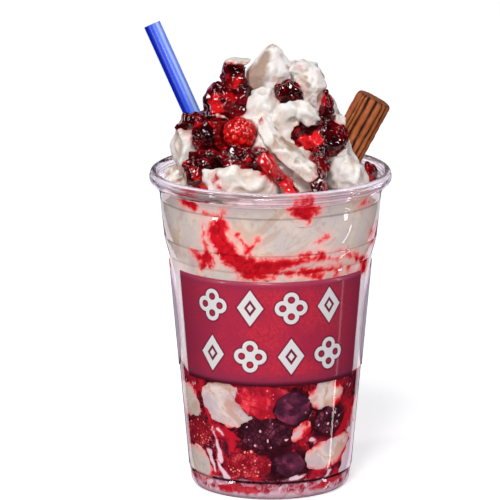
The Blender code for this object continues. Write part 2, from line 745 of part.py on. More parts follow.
def make_cream_heap():
    """The whipped heap that stands on the cream."""
    curl = [
        (3.6, -19.4, 147.6),
        (4.2, -19.6, 155.4),
        (8.3, -19, 159.2),
        (13.2, -19, 158.4),
        (16.8, -19.4, 154.6),
        (18.2, -20, 149),
    ]
    blobs = [
        ((-33.4, -8, 141.6), (13, 18, 19), 8),
        ((-12, -32.6, 132.4), (32, 15, 15), 0),
        ((30.3, -22, 132.4), (18, 15, 16), 0),
        ((27.8, -15, 142.2), (7.4, 9, 9), 0),
        ((-3, -13.4, 159.6), (15, 13, 14), 0),
        ((-20.6, -12, 153.6), (13, 12, 7), 0),
        ((-20, 22, 140), (26, 22, 24), 0),
        ((20, 18, 146), (22, 20, 22), 0),
        ((2, 8, 160), (28, 24, 20), 0),
    ]
    shapes = [lump((1.2, 1, 120), (72, 69, 92), rough=0.05, seed=71, rounds=(14, 9))]
    for count, (at, size, lean) in enumerate(blobs):
        shapes.append(lump(at, size, (0, lean, 0), 0.13, 1.8, 72 + count, (9, 6), blocky=0.9))
    shapes.append(strand(curl, [2.6, 3.2, 3.6, 3.7, 3.2, 2.6], 1, 0.8, 5))
    built = [shape() for shape in shapes]
    body = built[0]
    foot = wave_block("foot", FILL_LEVEL + LAYER_LIFT, FILL_WAVE, FILL_SLOPE, FILL_SEED)
    bpy.context.view_layer.update()
    combine(body, built[1:], "UNION")
    combine(body, [foot, ROOM], "INTERSECT")
    combine(body, near_blockers(body), "DIFFERENCE")
    remove(built[1:] + [foot])
    finish_layer(body, "cream_heap", CREAM)


def make_berry_layer():
    """Dark compote with all its berries and meringue in pockets, from the floor to the cream."""
    body = make_room()
    ceiling = wave_block("ceiling", LAYER_LEVEL, LAYER_WAVE, (0.0, 0.0), LAYER_SEED)
    bpy.context.view_layer.update()
    combine(body, [ceiling], "DIFFERENCE")
    combine(body, near_blockers(body), "DIFFERENCE")
    remove([ceiling])
    finish_layer(body, "berry_layer", COMPOTE)


def finish_layer(body, name, finish):
    drop_scraps(body)
    thin_out(body, LAYER_SHARE)
    make_part(body, name, finish, SHARP_FOOD)


clear_scene()
collection(PARTS)
collection(CUTTERS)

CLEAR = material("clear_plastic", (0.93, 0.92, 0.97), 0.08, 0.3, 0.9)
LABEL = material("label", (0.42, 0.02, 0.08), 0.35)
STRAW = material("straw", (0.02, 0.08, 0.62), 0.25)
CHOCOLATE = material("chocolate", (0.22, 0.07, 0.03), 0.55)
CREAM = material("cream", (0.85, 0.78, 0.72), 0.45)
MERINGUE = material("meringue", (0.88, 0.82, 0.76), 0.7)
COMPOTE = material("compote", (0.22, 0.005, 0.012), 0.12)
RASPBERRY = material("raspberry", (0.42, 0.01, 0.02), 0.25)
STRAWBERRY = material("strawberry", (0.45, 0.02, 0.04), 0.25)
BRAMBLE = material("bramble", (0.03, 0.004, 0.012), 0.2)
DARK_BERRY = material("dark_berry", (0.08, 0.005, 0.02), 0.2)

make_cup()
ROOM = make_room()
make_panel("label_front", 0, FRONT_FACETS, LABEL_LOW, LABEL_HIGH, 0.0)
make_panel("label_back", 180, BACK_FACETS, LABEL_LOW, LABEL_HIGH, BACK_ROUNDING)
make_straw()
make_stick()
bpy.context.view_layer.update()
make_wall_berries()
make_wall_whites()
make_ripples()
make_heap_pieces()
make_heap_compote()
make_cream()
make_cream_heap()
make_berry_layer()
remove(blockers + [ROOM])
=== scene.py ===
"""Eton mess in its clear cup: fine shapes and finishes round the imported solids.

Lengths in the tables are millimetres, and angles are degrees from the front of the cup.
"""

import math

import bmesh
import bpy
import numpy as np
from mathutils import Matrix, Vector, noise
from mathutils.bvhtree import BVHTree
from mathutils.kdtree import KDTree


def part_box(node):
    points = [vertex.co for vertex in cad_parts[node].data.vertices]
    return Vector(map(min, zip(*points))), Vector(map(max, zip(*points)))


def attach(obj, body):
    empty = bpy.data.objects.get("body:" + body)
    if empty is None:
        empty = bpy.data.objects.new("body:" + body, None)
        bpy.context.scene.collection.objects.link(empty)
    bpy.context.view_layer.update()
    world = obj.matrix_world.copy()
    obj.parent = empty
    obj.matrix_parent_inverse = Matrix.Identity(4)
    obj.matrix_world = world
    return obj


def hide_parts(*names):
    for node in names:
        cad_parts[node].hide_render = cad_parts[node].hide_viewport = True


MM = 0.001
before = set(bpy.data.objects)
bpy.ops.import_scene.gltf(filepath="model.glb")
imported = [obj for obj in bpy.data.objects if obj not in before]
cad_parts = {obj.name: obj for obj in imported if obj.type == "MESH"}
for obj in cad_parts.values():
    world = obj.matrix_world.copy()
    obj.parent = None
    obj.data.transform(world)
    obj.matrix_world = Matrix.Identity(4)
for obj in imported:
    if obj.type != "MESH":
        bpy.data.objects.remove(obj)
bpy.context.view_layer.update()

# Inner side of the bowl, from the floor up, as (radius, height)
FLOOR = 1.6
BOWL = [
    (27.5, 1.6), (29.5, 2.1), (30.9, 3.5), (31.4, 5.4), (32.3, 8.6), (40.2, 96.3), (42, 102.6),
    (43.8, 120.4), (45.1, 124.6), (45.5, 128.3), (45.8, 140),
]
# The straight wall: foot of its inner side, how far it leans out and rises, and its thickness
FOOT, LEAN, RISE, WALL = (32.3, 8.6), 7.9, 87.7, 0.9
BEAD, BEAD_HALF = (47.3, 128.3), (1.77, 2.7)
# Food is pressed to the wall below the first height. Pieces lower than the second lie in the berry layer.
WALL_TOP, LAYER_TOP = 126, 62
# Distances between shapes are measured up to this
FAR = 9
# The turn from one drupelet of a berry to the next
GOLDEN_ANGLE = 2.39996
# Middle of the meringue peak
PEAK = (0.9, -1.6)


def family(kind, parts):
    """Names of the nodes of one kind."""
    return [f"{kind}_{part}" for part in parts.split()]


WALL_COMPOTE = family("ripple", "front star low drip side back left")
HEAP_COMPOTE = family("compote", "crest left pocket right front rear rear_left")
WALL_WHITES = family("meringue", "wide corner low chip back_high back_low")
CREAM_POCKETS = family("cream_pocket", "left low side")


def tint(red, green, blue):
    """A colour as screens show it, 0 to 255, turned into the linear values that a shader takes."""
    shares = [value / 255 for value in (red, green, blue)]
    return tuple(s / 12.92 if s <= 0.04045 else ((s + 0.055) / 1.055) ** 2.4 for s in shares)


# Finishes


def operator(operation):
    """A sum of a wire and something else, as Wire's operators."""
    return lambda wire, other: wire.sum(operation, other)


class Wire:
    """A value inside a finish. Sums on it become Math nodes."""

    def __init__(self, finish, socket):
        self.finish = finish
        self.socket = socket

    def sum(self, operation, *others):
        return self.finish.sum(operation, self, *others)

    def __rsub__(self, other):
        return self.finish.sum("SUBTRACT", other, self)

    def __abs__(self):
        return self.sum("ABSOLUTE")

    __add__ = __radd__ = operator("ADD")
    __mul__ = __rmul__ = operator("MULTIPLY")
    __sub__ = operator("SUBTRACT")
    __truediv__ = operator("DIVIDE")

    def fade(self, low, high):
        """0 below low and 1 above high, with a soft run between. Low may be the higher of the two."""
        settings = {"interpolation_type": "SMOOTHSTEP"}
        inputs = {"Value": self, "From Min": min(low, high), "From Max": max(low, high)}
        inputs.update({"To Min": float(low > high), "To Max": float(low < high)})
        return self.finish.add("ShaderNodeMapRange", settings, inputs)


class Finish:
    """One material: a Principled shader and the nodes that feed it."""

    def __init__(self, name, **constants):
        self.material = bpy.data.materials.new(name)
        self.material.use_nodes = True
        self.tree = self.material.node_tree
        self.shader = self.tree.nodes["Principled BSDF"]
        for words, value in constants.items():
            self.shader.inputs[words.replace("_", " ")].default_value = value

    def add(self, kind, settings, inputs, out=0):
        node = self.tree.nodes.new(kind)
        for key, value in settings.items():
            setattr(node, key, value)
        for key, value in inputs.items():
            if isinstance(value, Wire):
                self.tree.links.new(value.socket, node.inputs[key])
            else:
                if isinstance(value, tuple) and node.inputs[key].type == "RGBA":
                    value = (*value, 1)
                node.inputs[key].default_value = value
        return Wire(self, node.outputs[out])

    def sum(self, operation, first, second=0, third=0):
        return self.add("ShaderNodeMath", {"operation": operation}, {0: first, 1: second, 2: third})

    def place(self):
        return self.add("ShaderNodeTexCoord", {}, {}, "Object")

    def axis(self, name):
        return self.add("ShaderNodeSeparateXYZ", {}, {0: self.place()}, name)

    def turned(self, turn=(0, 0, 0), stretch=(1, 1, 1)):
        inputs = {"Vector": self.place(), "Scale": tuple(1 / share for share in stretch)}
        inputs["Rotation"] = tuple(math.radians(angle) for angle in turn)
        return self.add("ShaderNodeMapping", {"vector_type": "TEXTURE"}, inputs)

    def cloud(self, size, detail=3, rough=0.55, warp=0, shift=0, at=None):
        """Soft noise, 0 to 1, whose patches measure about the size in millimetres."""
        inputs = {"Vector": at or self.place(), "Scale": 1000 / size, "Detail": detail}
        inputs.update({"Roughness": rough, "Distortion": warp, "W": shift})
        return self.add("ShaderNodeTexNoise", {"noise_dimensions": "4D"}, inputs)

    def cells(self, size):
        """Round cells: 0 in the middle of each."""
        inputs = {"Vector": self.place(), "Scale": 1000 / size}
        return self.add("ShaderNodeTexVoronoi", {"feature": "F1"}, inputs, "Distance")

    def mark(self, name):
        """A value that the mesh carries."""
        return self.add("ShaderNodeAttribute", {"attribute_name": name}, {}, "Fac")

    def mix(self, share, first, second):
        inputs = {0: share, 6: first, 7: second}
        return self.add("ShaderNodeMix", {"data_type": "RGBA"}, inputs, 2)

    def coats(self, colour, *coats):
        """A colour with others laid over it, each by its share. Plain colours are 0 to 255."""
        for share, over in coats:
            pair = [tint(*each) if isinstance(each, tuple) else each for each in (colour, over)]
            colour = self.mix(share, *pair)
        return colour

    def bump(self, height, depth, under=None):
        """Relief of the height, 0 to 1, times the depth in millimetres."""
        inputs = {"Height": height, "Distance": depth * MM, "Strength": 1}
        if under:
            inputs["Normal"] = under
        return self.add("ShaderNodeBump", {}, inputs)

    def let_lamps_through(self, share):
        """Clear stuff doesn't darken what stands behind it: lamps shine straight through."""
        seen = self.add("ShaderNodeLightPath", {}, {}, "Is Shadow Ray")
        open_way = self.add("ShaderNodeBsdfTransparent", {}, {"Color": share})
        both = self.add("ShaderNodeMixShader", {}, {0: seen, 1: Wire(self, self.shader.outputs[0]), 2: open_way})
        self.tree.links.new(both.socket, self.tree.nodes["Material Output"].inputs["Surface"])

    def wear(self, **wires):
        for words, wire in wires.items():
            self.tree.links.new(wire.socket, self.shader.inputs[words.replace("_", " ")])
        return self


# Shapes


def copy_of(*nodes, grow=0):
    """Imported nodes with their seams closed, a little swollen."""
    bm = bmesh.new()
    for node in nodes:
        bm.from_mesh(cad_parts[node].data)
    bmesh.ops.remove_doubles(bm, verts=bm.verts, dist=0.02 * MM)
    bm.normal_update()
    for vert in bm.verts:
        vert.co += vert.normal * grow * MM
    return bm


def as_mesh(bm, name="shape"):
    mesh = bpy.data.meshes.new(name)
    bm.to_mesh(mesh)
    bm.free()
    return mesh


def put_in_scene(name, data):
    obj = bpy.data.objects.new(name, data)
    bpy.context.scene.collection.objects.link(obj)
    return obj


def recast(bm, grain, soften=3):
    """One even skin round all the shapes, with faces of the grain's size."""
    obj = put_in_scene("recast", as_mesh(bm))
    remesh = obj.modifiers.new("Skin", "REMESH")
    remesh.mode = "VOXEL"
    remesh.voxel_size = grain * MM
    remesh.use_smooth_shade = True
    smooth = obj.modifiers.new("Soften", "SMOOTH")
    smooth.iterations = soften
    graph = bpy.context.evaluated_depsgraph_get()
    mesh = bpy.data.meshes.new_from_object(obj.evaluated_get(graph))
    bpy.data.objects.remove(obj)
    return mesh


def vectors(items, key):
    flat = np.zeros(len(items) * 3, np.float32)
    items.foreach_get(key, flat)
    return flat.reshape(-1, 3).astype(float)


def corners(mesh):
    """The mesh's points in millimetres."""
    return vectors(mesh.vertices, "co") / MM


def place_corners(mesh, points):
    mesh.vertices.foreach_set("co", (points * MM).astype(np.float32).ravel())
    mesh.update()


def outward(mesh):
    return vectors(mesh.vertex_normals, "vector")


def unit(values):
    """Values held between 0 and 1."""
    return np.clip(values, 0, 1)


def swells(points, size, seed=0):
    """Soft hills of the given size, about -0.5 to 0.5."""
    return np.array([noise.noise(p) for p in (points / size + seed).tolist()])


def creases(points, size, seed=0):
    """Sharp ridges between rounded hollows, 0 to 1."""
    return 1 - np.minimum(1, np.abs(swells(points, size, seed)) * 3.2)


def beads(points, size, seed=0):
    """Close-packed domes, 0 to 1, like drupelets."""
    near = np.array([noise.voronoi(p)[0][0] for p in (points / size + seed).tolist()])
    return np.sqrt(np.clip(1 - (near / 0.75) ** 2, 0, 1))


def bowl_radius(height):
    """Inner radius of the bowl at a height."""
    return np.interp(height, [h for _, h in BOWL], [r for r, _ in BOWL])


def press(points, reach, hold=0.25):
    """Press what lies within the hold of the bowl's inner side into the wall, and keep the rest inside."""
    radius = np.hypot(points[:, 0], points[:, 1])
    bowl = bowl_radius(points[:, 2])
    near = unit((radius - bowl) / hold + 2)
    near = near * near * (3 - 2 * near) * (points[:, 2] < WALL_TOP)
    wanted = np.minimum(radius + (bowl + reach - radius) * near, bowl + reach)
    points[:, :2] *= (wanted / np.maximum(radius, 1e-6))[:, None]
    points[points[:, 2] < FLOOR + hold, 2] = FLOOR - reach
    return points


def tree_of(*nodes):
    bm = copy_of(*nodes)
    tree = BVHTree.FromBMesh(bm)
    bm.free()
    return tree


def distance_to(points, tree, reach=FAR):
    """How far each point is from the tree's surface, in millimetres, up to reach."""
    found = [tree.find_nearest(p, reach * MM)[3] for p in (points * MM).tolist()]
    return np.array([reach if d is None else d / MM for d in found])


def add_marks(mesh, **marks):
    """Values that the mesh carries to its finish."""
    for name, values in marks.items():
        made = mesh.attributes.new(name, "FLOAT", "POINT")
        made.data.foreach_set("value", values.astype(np.float32))


def finish_piece(name, mesh, finish, slot, *nodes):
    mesh.name = name
    mesh.shade_smooth()
    mesh.materials.clear()
    mesh.materials.append(finish.material)
    obj = put_in_scene(name, mesh)
    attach(obj, "root")
    if nodes:
        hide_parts(*nodes)
    return obj


def turn_profile(profile, steps):
    """A line of (radius, height) turned round Z."""
    bm = bmesh.new()
    verts = [bm.verts.new((radius * MM, 0, height * MM)) for radius, height in profile]
    edges = [bm.edges.new(pair) for pair in zip(verts, verts[1:])]
    bmesh.ops.spin(
        bm, geom=verts + edges, axis=(0, 0, 1), cent=(0, 0, 0), angle=2 * math.pi,
        steps=steps, use_merge=True,
    )
    bmesh.ops.remove_doubles(bm, verts=bm.verts, dist=0.005 * MM)
    bmesh.ops.recalc_face_normals(bm, faces=bm.faces)
    return bm


def arc(middle, half, start, stop, count):
    turns = [math.radians(start + (stop - start) * i / (count - 1)) for i in range(count)]
    return [(middle[0] + half[0] * math.cos(t), middle[1] + half[1] * math.sin(t)) for t in turns]


# Camera, light and floor


def set_stage():
    scene = bpy.context.scene
    scene.view_settings.view_transform = "Standard"
    camera = bpy.data.cameras.new("camera")
    camera.lens = 500
    camera.sensor_width = 36
    camera.clip_end = 20
    eye = put_in_scene("camera", camera)
    tilt = math.radians(13)
    away = 2.82
    aim = Vector((-0.0083, 0, 0.0971))
    eye.location = aim + Vector((0, -math.cos(tilt), math.sin(tilt))) * away
    eye.rotation_euler = (math.pi / 2 - tilt, 0, 0)
    scene.camera = eye

    world = bpy.data.worlds.new("studio")
    world.use_nodes = True
    back = world.node_tree.nodes["Background"]
    back.inputs["Color"].default_value = (0.95, 0.93, 1, 1)
    back.inputs["Strength"].default_value = 0.6
    scene.world = world
    world.cycles_visibility.glossy = False
    world.cycles_visibility.diffuse = False

    # The edge lamps and the strip are there for the upright wall to mirror
    lamps = [
        ("key", (-0.25, -1.5, 1.75), 0.5, 0.5, 29, (1, 0.99, 0.98)),
        ("left", (-1.7, -1, 0.9), 0.25, 0.8, 13, (1, 0.98, 0.97)),
        ("top", (-0.2, 0.5, 1.9), 0.4, 0.4, 5, (1, 1, 1)),
        ("right", (1.9, -0.2, 0.7), 0.2, 1, 9, (0.93, 0.92, 1)),
        ("front", (-0.3, -2.6, 0.9), 0.4, 0.3, 14, (1, 0.99, 0.98)),
        ("fill", (1.1, -2.2, 0.8), 1.2, 1.2, 12, (1, 0.99, 0.98)),
        ("back", (0.5, 2.3, 1.3), 0.6, 0.6, 12, (1, 0.99, 0.99)),
        ("edge_left", (-0.85, 1.9, -0.1), 0.7, 1.8, 4.5, (0.93, 0.88, 1)),
        ("edge_right", (0.85, 1.9, -0.1), 0.7, 1.8, 4.5, (0.93, 0.88, 1)),
        ("strip", (1, 0.04, -0.27), 0.05, 0.5, 0.5, (1, 1, 1)),
    ]
    for name, at, wide, high, power, colour in lamps:
        lamp = bpy.data.lights.new(name, "AREA")
        lamp.shape = "RECTANGLE"
        lamp.size = wide
        lamp.size_y = high
        lamp.energy = power
        lamp.color = colour
        obj = put_in_scene(name, lamp)
        obj.location = at
        obj.rotation_euler = (Vector(at) - Vector((0, 0, 0.1))).to_track_quat("Z", "Y").to_euler()
        obj.visible_glossy = name not in ("front", "fill", "back")

    bm = bmesh.new()
    bmesh.ops.create_grid(bm, x_segments=8, y_segments=8, size=6.0)
    floor = put_in_scene("floor", as_mesh(bm, "floor"))
    paper = Finish("floor_paper", Roughness=0.9, Emission_Strength=0.5, Emission_Color=(1, 1, 1, 1))
    paper.wear(Base_Color=paper.coats((232, 232, 234), (paper.cloud(40, 2), (228, 228, 231))))
    floor.data.materials.append(paper.material)
    floor.visible_glossy = False
    floor.visible_diffuse = False


# Cup and what is fixed to it


def ring_notch(radius, height, deep, half):
    """A fine moulded groove in the outer wall, from above downwards."""
    return [(radius, height + half), (radius - deep, height), (radius, height - half)]


def make_cup():
    steps = 14
    shares = [i / steps for i in range(steps + 1)]
    inner = [(0, FLOOR), (13, FLOOR), (27.5, FLOOR)]
    inner += arc((27.5, 5.4), (3.9, 3.8), -90, 0, 9)[1:]
    inner += [(FOOT[0] + LEAN * share, FOOT[1] + RISE * share) for share in shares]
    inner += [(40.45, 97.4), (41.75, 101.6), (42, 102.6), (43.8, 120.4), (44.3, 122.6), (45.1, 124.6)]
    bead = arc(BEAD, BEAD_HALF, 180, 40, 12) + [(48.75, 129.6), (48.55, 129.2), (48.95, 128.8)]
    bead += arc(BEAD, BEAD_HALF, 5, -75, 14)
    outer = [(46.3, 124.6), (45.9, 123.9), (45.1, 122.4), (44.85, 121)] + ring_notch(44.8, 119.8, 0.3, 0.35)
    outer += ring_notch(43.15, 104.2, 0.3, 0.35) + [(42.8, 102.2), (41.5, 97.6)] + ring_notch(41.15, 96.6, 0.2, 0.3)
    outer += [(41.1 - LEAN * share, 96.3 - RISE * share) for share in shares[1:]]
    outer += [(33.1, 8.4), (32.3, 7.95), (32.3, 7.55), (32.9, 7.1)]
    heel = arc((28.4, 3.8), (3.9, 3.8), 0, -90, 10)
    profile = inner + bead + outer + heel + [(14, 0), (0, 0)]
    clear = Finish("clear_plastic", Roughness=0.03, IOR=1.45, Transmission_Weight=1)
    height = clear.axis("Z") / MM
    # Painted shade: dark lines in the glass at the moulded grooves and round the heel
    lines = 0
    for level, half, depth in [(119.8, 0.55, 0.6), (104.2, 0.5, 0.5), (96.6, 0.45, 0.35), (7.75, 0.8, 1)]:
        lines = abs(height - level).fade(half, half * 0.4) * depth + lines
    # Painted light and dark bands on the rim bead, standing in for its reflections
    rim = height.fade(122, 125)
    bands = clear.sum("SINE", height * 5.6 + 0.6).fade(-0.6, 0.5)
    pale = clear.mix(rim, (0.985, 0.975, 0.99), clear.mix(bands, (0.56, 0.46, 0.56), (0.9, 0.83, 0.88)))
    waves = clear.cloud(14, 1.5, at=clear.turned(stretch=(1, 1, 0.35)))
    clear.wear(Base_Color=clear.mix(lines, pale, (0.16, 0.07, 0.13)), Normal=clear.bump(waves, 0.012))
    clear.let_lamps_through((0.97, 0.95, 0.98))
    finish_piece("cup_clear", as_mesh(turn_profile(profile, 192)), clear, "cup", "cup")


def label_radius(height):
    """Outer radius of the straight wall, in millimetres."""
    return FOOT[0] + WALL + LEAN * (height - FOOT[1]) / RISE


def make_label():
    film = Finish("label_film", Roughness=0.45, Coat_Weight=0.25, Coat_Roughness=0.1, Specular_IOR_Level=0.3)
    across, up = film.mark("across"), film.mark("up")
    pitch, rise, petal = 16.6, 20.4, 3.5
    column, row = (across / pitch).sum("FLOOR"), (up / rise).sum("FLOOR")
    u = abs(across - (column + 0.5) * pitch)
    v = abs(up - (row + 0.5) * rise)

    def away(x, y):
        return (x * x + y * y).sum("SQRT")

    near = away(u - petal, v).sum("MINIMUM", away(u, v - petal))
    flower = (near - 3.2).sum("MAXIMUM", 1.5 - near).sum("MINIMUM", away(u, v) - 1.1)
    lozenge = (u / 5.4 + v / 7.6 - 1) * 4.2
    lozenge = lozenge.sum("MAXIMUM", 1.3 - (u / 2.5 + v / 3.5) * 1.3).sum("MINIMUM", u / 1.3 + v / 1.8 - 1)
    odd = abs((column + row).sum("MODULO", 2))
    shape = flower * (1 - odd) + lozenge * odd
    inside = film.mark("motifs")
    ink = shape.fade(0.12, -0.12) * inside
    mottle = film.cloud(1.2, 3, 0.75)
    broad = film.cloud(17, 2, 0.5, shift=3)
    cream = film.coats((250, 244, 247), (mottle, (255, 252, 254)))
    # The crimson darkens to purple towards the label's left and right ends: painted shade
    colour = film.coats(
        (200, 46, 70), (mottle.fade(0.3, 0.7), (236, 60, 82)), (broad.fade(0.36, 0.66) * 0.75, (184, 46, 82)),
        (abs(across).fade(12, 40) * 0.75, (160, 48, 82)), (abs(up).fade(15.5, 21.2) * 0.75, (152, 54, 88)),
        (shape.fade(0.9, 0.1) * inside * 0.75, (86, 20, 56)), (ink, cream),
        (film.mark("angle").fade(96, 98), (216, 194, 214)),
    )
    film.wear(Base_Color=colour, Normal=film.bump(ink, 0.05, film.bump(mottle, 0.02)))
    low, high, motif_level = 49.4, 93.1, 71.9
    panels = [("label_front", 0, 63, 150, 0), ("label_back", 180, 108, 220, 0.18)]
    for name, centre, half, columns, rounded in panels:
        bm = bmesh.new()
        bmesh.ops.create_grid(bm, x_segments=columns, y_segments=20, size=1.0)
        for vert in bm.verts:
            along, rise_share = vert.co.x, vert.co.y
            edge_share = max(0, (abs(along) - 1 + rounded) / rounded) if rounded else 0
            reach = math.sqrt(max(0, 1 - edge_share * edge_share)) * 0.85 + 0.15
            height = (low + high) / 2 + rise_share * (high - low) / 2 * reach
            turn = math.radians(centre + along * half)
            radius = label_radius(height) - 0.05
            vert.co = Vector((math.sin(turn), -math.cos(turn), 0)) * radius * MM
            vert.co.z = height * MM
        faces = list(bm.faces)
        bm.normal_update()
        if sum(f.calc_center_median().xy.dot(f.normal.xy) for f in faces) > 0:
            bmesh.ops.reverse_faces(bm, faces=faces)
        bmesh.ops.solidify(bm, geom=faces, thickness=0.42 * MM)
        bmesh.ops.recalc_face_normals(bm, faces=bm.faces)
        mesh = as_mesh(bm, name)
        points = corners(mesh)
        turns = np.arctan2(points[:, 0], -points[:, 1])
        if centre:
            turns = np.where(turns < 0, turns + math.pi, turns - math.pi)
        along_wall = turns * label_radius(points[:, 2])
        add_marks(
            mesh, across=along_wall, up=points[:, 2] - motif_level, angle=np.abs(np.degrees(turns)),
            motifs=np.abs(along_wall) < pitch * (3 if centre else 2),
        )
        finish_piece(name + "_film", mesh, film, "label", name)


def lay_along(bm, top, end):
    """Turn a shape that stands on Z so that its middle and its axis lie between two points."""
    top, end = Vector(top) * MM, Vector(end) * MM
    turn = (top - end).to_track_quat("Z", "Y").to_matrix().to_4x4()
    bmesh.ops.transform(bm, matrix=Matrix.Translation((top + end) / 2) @ turn, verts=bm.verts)


def make_straw():
    top, end = (-48.2, 25, 185.6), (26.6, -3, 22)
    half = (Vector(top) - Vector(end)).length / 2
    outer, inner, soft = 3.5, 2.9, 0.12
    profile = [(inner, -half + soft), (inner, half - soft), (inner + soft, half), (outer - soft, half)]
    profile += [(outer, half - soft), (outer, -half + soft), (outer - soft, -half), (inner + soft, -half)]
    bm = turn_profile(profile + profile[:1], 64)
    lay_along(bm, top, end)
    mesh = as_mesh(bm, "straw")
    axis = (Vector(top) - Vector(end)).normalized()
    side = np.array(Vector((0, 1, 0)).cross(axis).normalized())
    add_marks(mesh, across=(corners(mesh) - np.array(end)) @ side / outer)
    blue = Finish(
        "straw_blue", Roughness=0.38, Coat_Weight=0.1, Coat_Roughness=0.2, Transmission_Weight=0.1, IOR=1.4,
    )
    # Painted light and shade round the tube: a dark stripe on the left, lighter blue towards the right, a pale
    # highlight stripe near the right edge and a light left edge
    streaks = blue.cloud(2.2, 2, at=blue.turned((0, -24.6, 0), (1, 1, 0.04)))
    side = blue.mark("across") + (streaks - 0.5) * 0.3
    blue.wear(Base_Color=blue.coats(
        (4, 38, 196), (side.fade(-0.55, 0.1), (36, 88, 244)), (side.fade(0, 0.6), (112, 148, 250)),
        (side.fade(0.4, 0.6) * side.fade(0.86, 0.7), (176, 198, 250)), (side.fade(-0.86, -0.96), (110, 150, 255)),
    ))
    finish_piece("straw_tube", mesh, blue, "straw", "straw")


def make_stick():
    top, end = Vector((42.4, 4, 159.6)), Vector((14, 0, 107))
    half, radius, rounding = (top - end).length / 2, 7.4, 2
    draw = np.random.default_rng(11)
    folds = np.cumsum(draw.uniform(0.5, 1.5, 17))
    folds = folds / folds[-1] * 2 * math.pi
    depths = draw.uniform(1.2, 2.4, 17)
    foot = arc((radius - rounding, -half + rounding), (rounding, rounding), -90, 0, 7)
    side = [(radius, -half + rounding + (2 * half - 2 * rounding) * i / 50) for i in range(1, 50)]
    head = arc((radius - rounding, half - rounding), (rounding, rounding), 0, 90, 7)
    line = [(0, -half), (0.45, -half), (0.75, -half)]
    line += [(reach / radius, along) for reach, along in foot + side + head]
    line += [(0.75, half), (0.45, half), (0, half)]
    bm = bmesh.new()
    bmesh.ops.create_grid(bm, x_segments=220, y_segments=len(line) - 1, size=0.5)
    for vert in bm.verts:
        turn = (vert.co.x + 0.5) * 2 * math.pi
        share, along = line[round((vert.co.y + 0.5) * (len(line) - 1))]
        x, y = math.cos(turn), math.sin(turn)
        wander = 0.05 * noise.noise((along / 14, x * 1.4, y * 1.4))
        at = (turn + wander) % (2 * math.pi)
        after = int(np.searchsorted(folds, at)) % len(folds)
        start = folds[after - 1] if after else 0
        t = (at - start) / (folds[after] - start)
        crown = math.sin(math.pi * min(max(t, 0), 1)) ** 0.65
        broken = 0.75 + 0.5 * noise.noise((along / 6, after * 3.7, 0.5))
        dent = depths[after] * (1 - crown) * share * share * broken
        rough = 0.25 * noise.noise((along / 2.2, x * 4, y * 4)) * share
        reach = share * radius - dent + rough
        lip = 0.5 * share * noise.noise((x * 2.5, y * 2.5, 4)) * (abs(along) > half - 3)
        vert.co = Vector((reach * x, reach * y, along - abs(lip) * math.copysign(1, along))) * MM
    bmesh.ops.remove_doubles(bm, verts=bm.verts, dist=0.004 * MM)
    bmesh.ops.recalc_face_normals(bm, faces=bm.faces)
    lay_along(bm, top, end)
    mesh = as_mesh(bm, "stick")
    points = corners(mesh)
    axis = np.array((top - end).normalized())
    middle = np.array((top + end) / 2)
    away = points - middle
    along = away @ axis
    radial = np.linalg.norm(away - along[:, None] * axis, axis=1)
    # 'crown' is high on the crests of the ribs and on the ends and 0 in the grooves: the finish paints light on the
    # crowns and shade in the grooves
    on_end = np.clip((np.abs(along) - half + 1) / 0.8, 0, 0.75)
    add_marks(mesh, crown=np.maximum(unit((radial - radius + 1.9) / 1.9), on_end))
    brown = Finish("milk_chocolate", Roughness=0.6, Coat_Weight=0.05, Coat_Roughness=0.3, Specular_IOR_Level=0.3)
    crown = brown.mark("crown")
    grain = brown.cloud(1.1, 3, 0.7, at=brown.turned((0, 28, 0), (1, 1, 0.25)))
    flakes = brown.cloud(3.5, 3, 0.6)
    # Painted shade in the grooves, painted light on the crowns of the ribs, and lighter grain on the crowns as a
    # painted highlight
    colour = brown.coats(
        (50, 10, 3), (crown.fade(0.45, 1), (182, 99, 55)),
        (grain.fade(0.45, 0.8) * 0.55 * crown, (210, 148, 98)), (flakes.fade(0.55, 0.75) * 0.3, (96, 34, 14)),
    )
    brown.wear(Base_Color=colour, Normal=brown.bump(grain, 0.35, brown.bump(flakes, 0.3)))
    finish_piece("chocolate_ribs", mesh, brown, "chocolate", "chocolate_stick")


# Finishes of the food

# What lies in optical contact with the clear wall has no shine of its own.
AT_WALL = {"Specular_IOR_Level": 0.05, "Coat_Weight": 0}


def stained(made, clean):
    """Juice that has run into clean food. The mesh carries 'far', in millimetres, below 0 inside the compote."""
    far = made.mark("far")
    feather = made.cloud(2.6, 3, 0.5, 1, 7, at=made.turned((0, 30, 0), (1, 1, 0.7)))
    broad = made.cloud(8, 2, 0.5, 0.6, 9)
    fine = made.cloud(0.8, 2, 0.6, 0.4, 3)
    edge = far - (feather - 0.5) * 4.6 - (broad - 0.5) * 5 - (fine - 0.5) * 1.1
    return made.coats(
        clean, (edge.fade(3.4, 0) * 0.5, (214, 152, 148)), (edge.fade(1.2, -0.4) * 0.85, (206, 74, 76)),
        (edge.fade(0.3, -1.1), (174, 14, 26)),
        (edge.fade(-0.8, -2.6) * feather.fade(0.4, 0.6) * 0.8, (130, 5, 20)),
    ), edge


